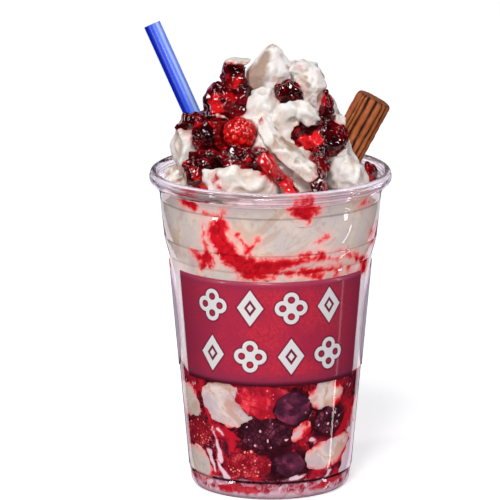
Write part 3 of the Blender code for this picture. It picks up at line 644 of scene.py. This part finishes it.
def white_finish(name, warm, cool, shade_and_tan, rough, deep, lively, slope, **more):
    """Cream or meringue. The mesh carries 'hollow', 0 to 1, where its relief is low, and the finish paints shade
    there.
    """
    soft = {"Subsurface_Weight": 0.15, "Subsurface_Radius": (1, 0.5, 0.35), "Subsurface_Scale": 0.002}
    made = Finish(name, **soft, **more)
    broad = made.cloud(15, 3, 0.55, 0.4)
    folds = made.cloud(5, 4, 0.6, 0.8, 2)
    fine = made.cloud(1.3, 3, 0.65, 0, 5)
    crease = abs(made.cloud(9, 3, 0.5, 1.4, 11) - 0.5)
    slant = made.cloud(9, 2, 0.5, 0.8, 4, at=made.turned((0, slope, 0), (1, 1, 0.3)))
    crack = abs(slant - 0.53).fade(0.012, 0) * broad.fade(0.5, 0.6)
    # Painted shade on the faces of the meringue that the mesh marks
    toast = (made.mark("toast") + (folds - 0.5) * 0.8).fade(0.15, 0.85) * 0.9
    # Painted shade in the hollows, in the creases and folds and on the marked faces of the heap's meringue, diagonal
    # bands of painted light and painted shade, and a pale painted glare on the cream near the cup's sides; the cracks
    # are tan
    colour, edge = stained(made, made.coats(
        warm, (broad.fade(0.38, 0.64), cool), (made.mark("hollow") * 0.85, shade_and_tan),
        (crease.fade(0.022, 0) * 0.4 * lively, shade_and_tan), (folds.fade(0.52, 0.68) * 0.6 * lively, shade_and_tan),
        (slant.fade(0.5, 0.58) * 0.7 * lively, cool), (slant.fade(0.46, 0.38) * 0.5 * lively, shade_and_tan),
        (crack * (lively - 0.4), shade_and_tan), (toast, (160, 130, 112)), (made.mark("side") * 0.7, (234, 226, 231)),
    ))
    relief = made.bump(fine, 0.14 * deep, made.bump(folds, 0.4 * deep))
    made.wear(Base_Color=colour, Roughness=rough - edge.fade(0.8, -0.8) * (rough - 0.12), Normal=relief)
    return made


def berry_finish(name, dark, mid, bright, dip, seed, **more):
    """Drupelets: 'lot' differs from one to the next, 'valley' lies between them and takes painted shade, 'glint'
    marks seeds and painted highlights.
    """
    shine = {"Coat_Weight": 0.5, "Coat_Roughness": 0.04, "Coat_IOR": 1.6, "Specular_IOR_Level": 0.5}
    made = Finish(name, **{**shine, **more})
    patch = made.cloud(4.5, 3, 0.6, 0.5)
    fine = made.cloud(0.9, 3, 0.6)
    # Painted shade in the valleys and at the marked rim, and seeds and painted highlights at the glints
    colour = made.coats(
        dark, ((made.mark("lot") * 0.7 + (patch - 0.5) * 1.6 + 0.15).fade(0.1, 0.9), mid),
        (patch.fade(0.5, 0.68), bright), ((made.mark("valley") + (fine - 0.5) * 0.8).fade(0.45, 1) * 0.85, dip),
        (fine.fade(0.56, 0.74) * 0.45, bright), (made.mark("rim") * (1.2 - patch), dip),
        ((made.mark("glint") + (fine - 0.5) * 0.9).fade(0.4, 0.75), seed),
    )
    made.wear(Base_Color=colour, Roughness=0.14 + patch * 0.14, Normal=made.bump(fine, 0.08))
    return made


def compote_finish():
    """Cooked fruit in glossy juice, with painted light in marked bright red spots, as if lit through thin juice, and
    painted shade in its hollows and in marked near-black spots.
    """
    made = Finish("berry_compote", Coat_Weight=0.6, Coat_Roughness=0.02, Coat_IOR=1.5, IOR=1.4)
    patch = made.cloud(8, 3, 0.55, 0.8)
    bright = made.cloud(4.5, 3, 0.6, 0.6, 6)
    skins = made.cloud(5, 1.5, 0.45, 0.6, 9)
    # Painted light in the marked bright spots; painted shade in the hollows and the marked near-black spots
    colour = made.coats(
        (48, 3, 6), (patch.fade(0.4, 0.58), (112, 7, 14)), (bright.fade(0.54, 0.66), (184, 14, 22)),
        ((made.mark("glow") + (bright - 0.5) * 1.6).fade(0.25, 0.75), (226, 28, 34)),
        (made.mark("hollow") * 0.75, (34, 2, 6)),
        ((made.mark("deep") + (bright - 0.5) * 1.4).fade(0.3, 0.8) * 0.85, (30, 2, 5)),
    )
    drupes = made.cells(2).fade(0.75, 0.15) * patch.fade(0.42, 0.56)
    relief = made.bump(drupes, 0.12, made.bump(skins, 0.8))
    made.wear(Base_Color=colour, Roughness=0.08 + skins * 0.06, Normal=relief)
    return made


# Cream and juice in the berry layer at the front wall: ends as (across, height), and half widths there
LOW_STREAKS = {
    "pale": [
        ((34.2, 35), (30.2, 9.5), 1.2, 2.6), ((-22.4, 28), (-19.6, 15.8), 0.2, 0.75),
        ((-24.6, 19), (-22, 10.4), 0.9, 0.2), ((-20.8, 15.2), (-17.6, 8.6), 0.4, 1.2),
        ((16, 25.6), (17, 25), 0.9, 0.5), ((8.6, 9.3), (13.4, 10.8), 0.9, 0.3), ((-3, 2.8), (12, 2.4), 0.7, 1.5),
        ((-29.5, 10), (-24, 5.6), 1.3, 0.9), ((-21, 29), (-19, 27), 0.5, 0.2), ((21, 6.6), (23.6, 10.6), 0.3, 0.9),
    ],
    "red": [
        ((-18.5, 28.5), (-12.5, 26), 1.6, 0.8), ((14, 3.2), (27, 7.2), 0.8, 2), ((-20, 4.6), (-6, 4), 1.1, 2),
        ((7.6, 17.5), (9.2, 21), 1.4, 0.7), ((-27, 45), (-24, 30), 1.3, 0.7), ((27, 25), (31.5, 32), 1.2, 2),
        ((27.6, 15.6), (30, 11.6), 1.6, 0.4), ((-28.6, 19), (-25.6, 10.6), 0.8, 0.2),
    ],
}


def wall_juice_finish():
    """The berry layer as it lies against the wall: juice, crushed fruit and streaks of cream."""
    made = Finish("berry_layer_juice", Roughness=0.5, **AT_WALL)
    zone = made.cloud(12, 2, 0.5, 0.8)
    patch = made.cloud(5, 4, 0.62, 1, 1)
    crush = made.cloud(1.8, 4, 0.7, 0.4, 5)
    streak = made.cloud(6, 4, 0.62, 2, 3, at=made.turned((0, 25, 0), (1, 1, 0.6)))
    vein = abs(made.cloud(7, 3, 0.55, 1.2, 12) - 0.5)
    height = made.axis("Z") / MM
    torn = (patch - 0.5) * 1.5 + (crush - 0.5) * 0.6
    low = (height + (patch - 0.5) * 6).fade(9.5, 7.5)
    lowest = (height + (patch - 0.5) * 5).fade(4.4, 2.6)
    pale = made.mark("pale") + torn * 0.45
    # Painted shade: a dark line on the juice at the height of the cup's groove near the foot
    ring = abs(height - 7.9).fade(0.85, 0.45)
    red = made.coats((104, 10, 30), (patch.fade(0.4, 0.6), (160, 20, 38)))
    base = made.coats(
        (176, 126, 140), (patch.fade(0.46, 0.56), (132, 22, 40)), (streak.fade(0.54, 0.62), (196, 180, 186)),
        (crush.fade(0.5, 0.66) * 0.5, (176, 60, 76)), (lowest * 0.65, (206, 184, 194)),
    )
    colour = made.coats(
        (38, 6, 18), (patch.fade(0.42, 0.6), (88, 16, 36)), (zone.fade(0.48, 0.6), red),
        (crush.fade(0.56, 0.7) * 0.6, (186, 36, 46)), (crush.fade(0.45, 0.32) * 0.7, (30, 4, 12)),
        (vein.fade(0.03, 0.005) * 0.75, (176, 16, 30)), (streak.fade(0.61, 0.67) * 0.85, (206, 146, 156)),
        (streak.fade(0.67, 0.73), (204, 186, 190)), ((made.mark("dark") + torn).fade(0.3, 0.8) * 0.9, (30, 3, 12)),
        (low * 0.9, base), ((made.mark("red") + torn * 0.7).fade(0.35, 0.75) * 0.9, (160, 16, 32)),
        (pale.fade(0.15, 0.45) * 0.6, (182, 92, 104)), (pale.fade(0.38, 0.62), (196, 174, 182)),
        (ring * 0.85, (52, 12, 26)),
    )
    made.wear(Base_Color=colour, Normal=made.bump(crush, 0.25))
    return made


# Food

# Juice of the star and the drip at the front wall: ends as (across, height) and half widths there
STAR = [
    ((-25.8, 101.6), (-27.6, 95.4), 2.1, 0.3), ((-26.2, 100.4), (-31, 103.6), 1.5, 0.2),
    ((-25.6, 101), (-23.4, 96.8), 1.3, 0.3), ((-25.4, 101.4), (-25, 108), 1.7, 0.2),
    ((-25.6, 101.6), (-21.8, 102.4), 1.2, 0.2),
]
DRIP = [((13.8, 123.4), (14.9, 118), 5, 0.5), ((10.6, 123.8), (17.2, 123.6), 2.4, 2.4)]
# Thin juice and tints in the cream at the front wall: ends as (across, height), half width, paleness
STREAKS = [
    ((-20.2, 116), (-19.4, 107), 2.4, -0.6), ((-18.6, 110), (-14, 102), 2.2, -0.4),
    ((-27.4, 117.2), (-25.4, 102.9), 0.5, 0.7), ((-10, 105.1), (-5.1, 110.8), 0.9, 0.3),
    ((18.5, 109.5), (22.6, 111.1), 0.5, 0.2), ((-34, 124), (-31.5, 123.4), 1.6, -0.6),
    ((36.4, 122), (38, 122.3), 1.1, 0.4), ((41.2, 107.3), (41.2, 103.2), 1.2, -0.2),
    ((-12.8, 95.2), (-7.5, 96.4), 0.9, 0), ((14.4, 95.5), (19.7, 94), 1.1, 0),
    ((27.4, 103.8), (28.3, 101), 0.6, 0.3), ((26.2, 93.8), (27.4, 98), 0.7, 0.2),
    ((30.3, 92.4), (31.5, 96.7), 0.6, 0.2), ((36.4, 92), (37.2, 97), 1.3, 0.2),
    ((-25.4, 120.6), (-19.7, 119.5), 2, 1.6), ((-18.9, 122.3), (-20.9, 116.8), 1.2, 1),
    ((-13.4, 112.6), (-8.5, 107.6), 1.6, 1), ((-13.2, 97.3), (24.2, 96.8), 2.2, 0.9),
    ((12, 103), (31, 101), 2, 1.5), ((26, 105), (36, 98), 3, 2.2),
    ((-23.6, 113.5), (-22.4, 100.5), 1.2, 1.3),
]
# The same round the back, where across runs along the wall from the middle of the back
BACK_STREAKS = [
    ((-15, 118), (-7, 105), 0.7, 0.2), ((9, 113), (15, 103), 1, 0.3),
    ((22, 121), (16, 108), 1.8, 0), ((-31, 118), (-22, 107), 1.6, 0.1),
    ((31, 99), (43, 112), 1.3, 0.2), ((-49, 99), (-35, 96), 1.7, 0.5),
    ((2, 122), (4, 116), 1.6, 0.2), ((-4, 97), (12, 95), 1.2, 0.1), ((50, 121), (44, 114), 1.3, 0.3),
    ((20, 104), (33, 95), 1.5, 0), ((-6, 99), (-15, 110), 1.6, 0.1),
]
# Spots of painted light on the heap's compote, bright red as if lit through thin juice, with their reach
PAINTED_GLOWS = [
    ((-15.2, -8, 169.5), (-15.2, -8, 168), 3.6), ((-22.2, -12, 161.7), (-21, -13, 157), 3.4),
    ((-19, -27, 145), (-16, -27, 143), 3.2), ((9, -25, 144), (18, -25, 148.8), 3.6),
    ((-1.5, -34.5, 141), (5.1, -38.6, 133.6), 3.9), ((6, -39, 132.6), (10.6, -40.2, 129), 4.8),
    ((-30, -22, 134), (-24, -30, 128), 2.4),
]
# Red ends and edges of the white pieces on the heap, with their reach
HEAP_STAINS = [
    ((-3.8, -23, 157), (-2.4, -25, 153.5), 0.3), ((21.8, -7, 165), (21.5, -11, 153), 1.4),
    ((-26, -37, 138), (-21.5, -42, 131.5), 2), ((0.5, -43, 134), (3, -44, 129.5), 2),
    ((-37, -17, 151), (-30, -21, 153.5), 2), ((11, -8, 175), (19, -8, 171), -0.9),
]
# Faces of the meringue on the heap that take painted shade, with their reach
SHADED_FACES = [
    ((-6, -9, 173), (-7.5, -10, 165), 5.4), ((-2.5, -6, 179), (-5, -9, 172), 3),
    ((6, -29, 149.5), (13, -33, 141), 2.2), ((13, -12, 170), (15, -13, 168), 1.6),
]
# Spots of near-black painted shade on the heap's compote, with their reach
SHADED_DEPTHS = [
    ((-10.2, -10, 166), (-9.6, -12, 156), 3.4), ((-27, -24, 151), (-22, -28, 146), 3.6),
    ((-13, -28, 142), (-5, -29, 139), 3.2), ((6, -16, 161), (10.5, -17, 158), 2.8),
    ((-15.6, -7, 174.5), (-14.6, -8, 172.5), 3.2), ((22, -22, 152), (25, -22, 146), 3.2),
]


def stirred(points, size, seed, far):
    """Points moved about, so that what is drawn on them is bent."""
    return points + np.stack([swells(points, size, seed + i) for i in range(3)], axis=1) * far


def crumple(points, seed, deep):
    """Broken, folded relief of meringue."""
    coarse = 8
    relief = (creases(stirred(points, 9, seed, 4), coarse, seed) - 0.4) * deep
    relief += (creases(points, coarse * 0.4, seed + 3) - 0.4) * deep * 0.28
    return relief + swells(points, 1.9, seed + 5) * deep * 0.22


def soft_folds(points, seed):
    """Gentle folds of whipped cream."""
    bend = stirred(points, 11, seed, 6)
    relief = (creases(bend, 9.5, seed) - 0.4) * 1.3 + swells(bend, 4.2, seed + 2) * 0.8
    return relief + swells(points, 1.8, seed + 4) * 0.22


def fruit_relief(points, seed):
    """Crushed berries under smooth jelly."""
    patch = unit(swells(points, 7, seed) * 3.5 + 0.5)
    bend = stirred(points, 5, seed, 2)
    relief = beads(bend, 3.8, seed) * 1.3 * patch + (creases(bend, 6, seed + 4) - 0.4) * 0.8 * (1 - patch)
    return relief + swells(points, 5.5, seed + 2) * 1.6 - 0.35


def facing_out(points, normals):
    """1 where the surface faces away from the cup's axis, 0 where it faces along the wall or inwards."""
    across = np.maximum(np.hypot(points[:, 0], points[:, 1]), 1e-6)
    return unit((points[:, 0] * normals[:, 0] + points[:, 1] * normals[:, 1]) / across)


def streak_distance(points, start, end, half=0, tip=0):
    """How far each point is outside a streak whose half width runs from half to tip. Below 0 inside."""
    start, end = np.array(start, float), np.array(end, float)
    along = end - start
    share = unit(((points - start) @ along) / max(along @ along, 1e-9))
    return np.linalg.norm(points - start - share[:, None] * along, axis=1) - half - (tip - half) * share


def front_view(points):
    """Across and height, a little stirred so that no outline is straight."""
    stir = np.stack([swells(points, 3.4, 21), swells(points, 3.4, 27)], axis=1)
    return points[:, [0, 2]] + stir * 0.9


def near_mark(points, lines):
    """1 near the lines and 0 beyond their reach."""
    return np.max([unit(1.4 - streak_distance(points, a, b) / reach) for a, b, reach in lines], axis=0)


def dress(
    name, nodes, finish, slot, grain, relief, grow=0.3, reach=0.2, hold=0.25, soften=3, marks=None, walled=False,
    cone=None, shape=None,
):
    """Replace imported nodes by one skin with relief. Against the wall only the outline takes the relief."""
    body = copy_of(*nodes, grow=grow)
    if cone:
        middle, low, top, depth = cone
        bmesh.ops.create_cone(
            body, cap_ends=True, segments=24, radius1=low * MM, radius2=top * MM, depth=depth * MM,
            matrix=Matrix.Translation(Vector(middle) * MM),
        )
    mesh = recast(body, grain, soften)
    if shape:
        place_corners(mesh, shape(corners(mesh)))
    points = corners(mesh)
    normals = outward(mesh)
    height = relief(points)
    if walled:
        height *= 1 - facing_out(points, normals) ** 2
    points = press(points + normals * height[:, None], reach, hold)
    place_corners(mesh, points)
    # Away from the wall the low parts of the relief are marked 'hollow', where the finishes paint shade
    if not walled:
        middle, deep = np.percentile(height, (42, 3))
        add_marks(mesh, hollow=unit((middle - height) / (middle - deep)))
    add_marks(mesh, **{mark: values(points) for mark, values in (marks or {}).items()})
    return finish_piece(name, mesh, finish, slot, *nodes)


def wall_ring(low, high):
    """A ring of food, 4 mm thick, along the bowl's inner side."""
    outer = [(float(bowl_radius(z)), float(z)) for z in np.linspace(low, high, 24)]
    inner = [(radius - 4, z) for radius, z in reversed(outer)]
    return turn_profile(outer + inner + outer[:1], 96)


def in_layer(*kinds):
    """Nodes of these kinds that lie in the berry layer."""
    return [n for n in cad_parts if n.split("_")[0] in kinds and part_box(n)[1].z < LAYER_TOP * MM]


def pale(points):
    """The juice thins out along the swoosh to the right, and in the middle of the back."""
    front = (points[:, 1] < 0) & (points[:, 2] < 104) & (points[:, 2] > 92)
    thin = 1.7 * unit((points[:, 0] + 2) / 16) * front
    return thin + 3.4 * unit(1.3 - np.abs(points[:, 0] - 9) / 9) * (points[:, 1] > 0)


def with_drawn(points, far):
    """Round the star and the drip, the distance from their drawn outlines instead."""
    star = (points[:, 0] < -22.6) & (points[:, 2] < 108)
    drip = (points[:, 0] > 4) & (points[:, 2] > 112)
    flat = front_view(points)
    away = np.min([streak_distance(flat, *streak) for streak in STAR + DRIP], axis=0)
    return np.where((star | drip) & (points[:, 1] < 0), away, far)


def near_streaks(points, far):
    """The lesser of the distance so far and the one from the thin streaks."""
    flat = front_view(points)
    round_back = np.arctan2(points[:, 0], points[:, 1]) * np.hypot(points[:, 0], points[:, 1])
    for streaks, side in [(STREAKS, points[:, 1] < 0), (BACK_STREAKS, points[:, 1] > 0)]:
        for start, end, half, weak in streaks:
            away = streak_distance(flat, start, end) - half + weak
            far = np.minimum(far, np.where(side, away, FAR))
        flat[:, 0] = round_back
    return far


def sharpen(points):
    """Draw the peak in towards its tip."""
    tip, shoulder, top = 2.7, 181, 182.7
    away = points[:, :2] - np.array(PEAK)
    radius = np.maximum(np.hypot(away[:, 0], away[:, 1]), 1e-6)
    height = points[:, 2]
    dome = tip * np.sqrt(np.clip(top - height, 0, 1.7) / 1.7)
    wanted = np.where(height < shoulder, tip + (shoulder - height) * 0.78, dome)
    wanted *= 1 + 0.3 * swells(points, 6, 15)
    share = unit((height - 171.5) / 4)
    points[:, :2] = np.array(PEAK) + away * (1 + (wanted / radius - 1) * share)[:, None]
    return points


def flatten(points):
    middle = 174.4
    points[:, 2] = middle + (points[:, 2] - middle) * 0.6
    return points


def make_food():
    heap_tree, ripple_tree = tree_of(*HEAP_COMPOTE), tree_of(*WALL_COMPOTE)
    layer_tree, cream_tree = tree_of("berry_layer"), tree_of("cream")
    dark_tree = tree_of(*in_layer("bramble", "currant"))

    warm, cool = (240, 234, 227), (238, 235, 234)
    cream = white_finish("whipped_cream", warm, cool, (186, 154, 132), 0.42, 1, 0.4, 40)
    meringue = white_finish("meringue", warm, cool, (180, 146, 122), 0.6, 1, 0.45, 40)
    # The cream and meringue against the wall are darker copies of those on the heap: painted shade for the food
    # inside the cup
    wall_cream = white_finish(
        "cream_at_wall", (187, 172, 158), (168, 161, 157), (156, 132, 110), 0.6, 0.3, 0.9, 50, **AT_WALL,
    )
    wall_meringue = white_finish(
        "meringue_at_wall", (190, 179, 171), (166, 153, 157), (164, 112, 80), 0.6, 0.5, 1, -56, **AT_WALL,
    )
    compote = compote_finish()

    def far_in_cream(points):
        far = np.maximum(distance_to(points, ripple_tree) - 0.6, 0) + pale(points)
        return near_streaks(points, np.minimum(with_drawn(points, far), distance_to(points, layer_tree)))

    def far_in_ripple(points):
        far = pale(points) - np.maximum(distance_to(points, cream_tree) - 0.6, 0)
        return near_streaks(points, with_drawn(points, far))

    def far_in_heap(points):
        away = [streak_distance(points, start, end) - half for start, end, half in HEAP_STAINS]
        return np.minimum(distance_to(points, heap_tree) - 0.5, np.min(away, axis=0))

    def mark_cream(mesh, points):
        add_marks(mesh, far=far_in_cream(points))
        # Painted glare: the cream near the cup's left and right sides, below the shoulder, is marked to be painted a
        # pale lilac sheen
        beside = unit((np.abs(points[:, 0]) / 37 - 0.84) / 0.1)
        add_marks(mesh, side=beside * unit((104 - points[:, 2]) / 16))

    def mark_layer(mesh, points):
        add_marks(mesh, dark=unit(1.1 - distance_to(points, dark_tree) / 6))
        flat, front = front_view(points), unit(-points[:, 1] / 9)
        for kind, streaks in LOW_STREAKS.items():
            depths = [unit(0.5 - streak_distance(flat, *streak) / 1.4) for streak in streaks]
            add_marks(mesh, **{kind: np.max(depths, axis=0) * front})

    # The berry layer and the cream fill the cup, with their pockets closed behind the pieces at the wall
    held = in_layer("bramble", "raspberry", "currant", "strawberry", "meringue", "cream")
    for name, node, pockets, finish, slot, low, high, reach, mark in [
        ("berry_layer_fill", "berry_layer", held, wall_juice_finish(), "compote", 3, 49.2, 0.14, mark_layer),
        ("cream_fill", "cream", WALL_COMPOTE, wall_cream, "cream", 48, 121, 0.12, mark_cream),
    ]:
        body = copy_of(node, grow=0.45)
        for pocket in pockets:
            body.from_mesh(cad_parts[pocket].data)
        body.from_mesh(as_mesh(wall_ring(low, high), "lining"))
        mesh = recast(body, 0.8, 2)
        points = press(corners(mesh), reach, 2.4)
        place_corners(mesh, points)
        mark(mesh, points)
        finish_piece(name, mesh, finish, slot, node)

    # Heap of cream over the rim
    mesh = recast(copy_of("cream_heap", grow=0.32), 0.6, 3)
    points = corners(mesh)
    height = soft_folds(points, 2) * unit((points[:, 2] - 123) / 5)
    points = press(points + outward(mesh) * height[:, None], 0.2)
    place_corners(mesh, points)
    # The low parts of the folds are marked 'hollow', where the finish paints shade
    add_marks(mesh, hollow=unit(-height / 1.1), far=far_in_heap(points))
    finish_piece("cream_whipped", mesh, cream, "cream", "cream_heap")

    def far_in_white(points):
        stain = 1.6 * unit((points[:, 0] - 8) / 14) * (points[:, 1] < 0)
        return distance_to(points, layer_tree) - 1 - stain

    at_wall = {"walled": True, "hold": 1.2, "grow": 0.45, "reach": 0.3, "soften": 2}
    for count, node in enumerate(WALL_WHITES + CREAM_POCKETS):
        crumb = node in WALL_WHITES
        dress(
            node + ("_crumb" if crumb else "_fold"), [node], wall_meringue if crumb else wall_cream,
            "meringue" if crumb else "cream", 0.55,
            lambda p, seed=count: swells(p, 7, seed * 5.3) * 3.4 + swells(p, 2.6, seed + 8) * 1.4 - 0.3,
            marks={"far": far_in_white}, **at_wall,
        )
    for count, node in enumerate(WALL_COMPOTE):
        dress(
            node + "_red", [node], wall_cream, "compote", 0.5,
            lambda p, seed=count: swells(p, 3, seed * 2.7) * 1.5, marks={"far": far_in_ripple}, **at_wall,
        )

    heap_whites = [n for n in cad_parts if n.startswith("meringue") and n not in WALL_WHITES]
    smooth_ones = {"meringue_peak": 0.45, "meringue_sliver": 0.35, "meringue_slab": 0.55, "meringue_right": 0.9}
    for count, node in enumerate(heap_whites):
        dress(
            node + "_crumb", [node], meringue, "meringue", 0.45,
            lambda p, seed=count, deep=smooth_ones.get(node, 1.2): crumple(p, 40 + seed * 4.7, deep),
            0.15, soften=4 if node == "meringue_peak" else 2,
            marks={"far": far_in_heap, "toast": lambda points: near_mark(points, SHADED_FACES)},
            cone=((*PEAK, 176.3), 8.4, 1.8, 11.4) if node == "meringue_peak" else None,
            shape={"meringue_peak": sharpen, "meringue_sliver": flatten}.get(node),
        )
    for count, node in enumerate(HEAP_COMPOTE + ["currant_rim"]):
        dress(
            node + "_jelly", [node], compote, "compote", 0.42,
            lambda p, seed=count: fruit_relief(p, 60 + seed * 3.9), 0.3, soften=2,
            marks={"glow": lambda points: near_mark(points, PAINTED_GLOWS), "deep": lambda points: near_mark(points, SHADED_DEPTHS)},
        )


# Node, place, size across, deep and high, and size of the drupelets.
# A place of two numbers is an angle and a height at the wall.
BERRIES = [
    ("bramble_centre", (-3, 28.2), (19, 14, 13), 1.75),
    ("bramble_right", (43, 32.4), (14, 12, 10.5), 1.5),
    ("bramble_side", (-102, 30), (16, 13, 12), 1.7),
    ("bramble_back", (150, 17), (17, 13, 12), 1.7),
    ("raspberry_low", (-16, 15.4), (19, 13, 11.5), 1.15),
    ("raspberry_left", (-57, 26), (16, 13, 11), 1.2),
    ("raspberry_back", (162, 39), (17, 13, 11.5), 1.3),
    ("raspberry_side", (101, 18), (16, 13, 11), 1.3),
    ("raspberry_top", (-12.4, -22.5, 150.2), (13.4, 12.6, 13), 2),
    ("raspberry_rear", (-12, 28, 147), (12.6, 12.6, 12), 1.5),
    ("bramble_rear", (1, 33.5, 135.5), (13, 12, 12.5), 1.7),
]


def wall_place(angle, height, depth):
    turn = math.radians(angle)
    reach = bowl_radius(height) - 0.2 * depth
    return (reach * math.sin(turn), -reach * math.cos(turn), height)


def make_berry(name, place, size, drupe, finish, layer_tree):
    """An ellipsoid of drupelets, pressed against the wall if its place is there."""
    walled = len(place) == 2
    middle = Vector(wall_place(*place, size[1]) if walled else place)
    turn = Matrix.Rotation(math.radians(place[0]) if walled else 0, 3, "Z")
    draw = np.random.default_rng(int(size[0] * 100 + drupe * 1000))
    bm = bmesh.new()
    area = 4 * math.pi * (size[0] * size[1] * size[2] / 8) ** (2 / 3)
    count = int(area / (drupe * drupe * 2.3))
    spots = []
    for i in range(count):
        height = 1 - 2 * (i + 0.5) / count
        around = i * GOLDEN_ANGLE
        ring = math.sqrt(1 - height * height)
        way = Vector((height, ring * math.cos(around), ring * math.sin(around)))
        way = (way + Vector(draw.uniform(-0.5, 0.5, 3)) * 1.1 * drupe / size[0]).normalized()
        spot = Vector([way[k] * (size[k] / 2 - drupe * 0.75) * draw.uniform(0.95, 1.04) for k in range(3)])
        spot = middle + turn @ spot
        if walled:
            spot.xy *= min(1, (bowl_radius(spot.z) - 0.3) / spot.xy.length)
        spots.append(spot)
        place_at = Matrix.Translation(spot * MM)
        bmesh.ops.create_icosphere(bm, subdivisions=2, radius=drupe * draw.uniform(0.86, 1.14) * MM, matrix=place_at)
    core = Matrix.Diagonal([(s / 2 - drupe * 0.6) * MM for s in size] + [1])
    core = Matrix.Translation(middle * MM) @ turn.to_4x4() @ core
    bmesh.ops.create_uvsphere(bm, u_segments=24, v_segments=16, radius=1.0, matrix=core)
    mesh = recast(bm, 0.32, 1 if walled else 3)
    points = corners(mesh)
    if walled:
        way = outward(mesh)
        swell = swells(points, 3.2, size[0]) * 1.6 * (1 - facing_out(points, way) ** 2)
        points = press(points + way * swell[:, None], 0.3, 0.5)
        # Painted shade at the berry's edges, where it meets the berry layer
        add_marks(mesh, rim=unit(1.3 - distance_to(points, layer_tree, 4) / 1.4))
    place_corners(mesh, points)
    tree = KDTree(len(spots))
    for i, spot in enumerate(spots):
        tree.insert(spot, i)
    tree.balance()
    pairs = [tree.find_n(p, 2) for p in points.tolist()]
    valley = np.array([1 - (pair[1][2] - pair[0][2]) / (0.75 * drupe) for pair in pairs])
    owner = np.array([pair[0][1] for pair in pairs])
    add_marks(mesh, valley=unit(valley), lot=draw.uniform(0, 1, count)[owner])
    # Glints sit a little above and outside the middle of their drupelets, as seeds and as painted highlights
    shift = draw.uniform(-0.35, 0.35, (count, 3)) + (0, 0, 0.25)
    glint_spots = np.array([list(spot) for spot in spots]) + shift * drupe
    outwards = glint_spots - np.array(middle)
    glint_spots += outwards / np.linalg.norm(outwards, axis=1)[:, None] * drupe * 0.7
    if walled:
        glint_spots = press(glint_spots, 0.3, 1.6)
    gap = (points - glint_spots[owner]) * draw.uniform(0.55, 1.5, (count, 3))[owner]
    near = np.linalg.norm(gap, axis=1)
    kind = name.split("_")[0]
    chance = 0.45 if walled and kind == "raspberry" else 0.25
    shows = draw.uniform(0, 1, count)[owner] < chance
    glint_half = draw.uniform(0.28, 0.5 if kind == "raspberry" else 0.8, count)[owner]
    add_marks(mesh, glint=unit(1.5 - near / glint_half) * shows)
    finish_piece(name + "_drupes", mesh, finish, kind, name)


# Colours of the berries: dark, middle and bright drupelets, the painted shade in the dips between them, and the seeds
# and painted highlights
LOOSE = {
    "raspberry": [(200, 10, 14), (226, 18, 18), (244, 40, 34), (148, 4, 10), (240, 136, 116)],
    "bramble": [(26, 6, 16), (58, 12, 30), (84, 24, 42), (16, 2, 8), (120, 60, 60)],
}
WALLED = {
    "raspberry": [(116, 10, 26), (150, 22, 38), (192, 64, 70), (84, 8, 20), (220, 132, 114)],
    "bramble": [(44, 8, 22), (82, 28, 46), (118, 52, 70), (26, 4, 12), (214, 160, 168)],
    "currant": [(52, 16, 34), (82, 32, 54), (122, 44, 70), (36, 8, 22), (150, 90, 110)],
    "strawberry": [(134, 12, 30), (166, 22, 38), (194, 58, 68), (104, 12, 38), (236, 150, 136)],
}


def make_berries():
    loose = {kind: berry_finish(kind, *colours) for kind, colours in LOOSE.items()}
    walled = {kind: berry_finish(kind + "_at_wall", *colours, **AT_WALL) for kind, colours in WALLED.items()}
    layer_tree = tree_of("berry_layer")
    for name, place, size, drupe in BERRIES:
        kinds = walled if len(place) == 2 else loose
        make_berry(name, place, size, drupe, kinds[name.split("_")[0]], layer_tree)
    for count, node in enumerate(["currant_centre", "currant_low", "strawberry_front", "strawberry_back"]):
        kind = node.split("_")[0]
        lump, dips, rim_reach = (2.2, 0.9, 1.4) if kind == "strawberry" else (3.4, 0.6, 3.4)

        def lumps(points):
            return beads(points, lump, count * 3.3)

        # Painted shade at the edges, near the berry layer, and the front strawberry darker towards its right
        def rim(points):
            shaded = unit(1.2 - distance_to(points, layer_tree, 4) / rim_reach)
            beside = np.clip((points[:, 0] + 1) / 6, 0, 0.7) * (kind == "strawberry") * (points[:, 1] < 0)
            return np.maximum(shaded, beside)

        # 'valley' takes painted shade between the lumps; 'glint' marks seeds on the strawberries and painted
        # highlights on the currants
        dress(
            node + "_skin", [node], walled[kind], kind, 0.42, lambda p: swells(p, 4, count * 7.7) * 1.2,
            0.45, 0.3, 1.2, 2, {
                "valley": lambda points: (0.95 - lumps(points)) * dips,
                "rim": rim,
                "lot": lambda points: swells(points, 3, 4) + 0.5,
                "glint": lambda points: unit((lumps(points) - 0.975) * 60) * (swells(points, 2, 8) > 0.05),
            }, True,
        )


set_stage()
make_cup()
make_label()
make_straw()
make_stick()
make_food()
make_berries()
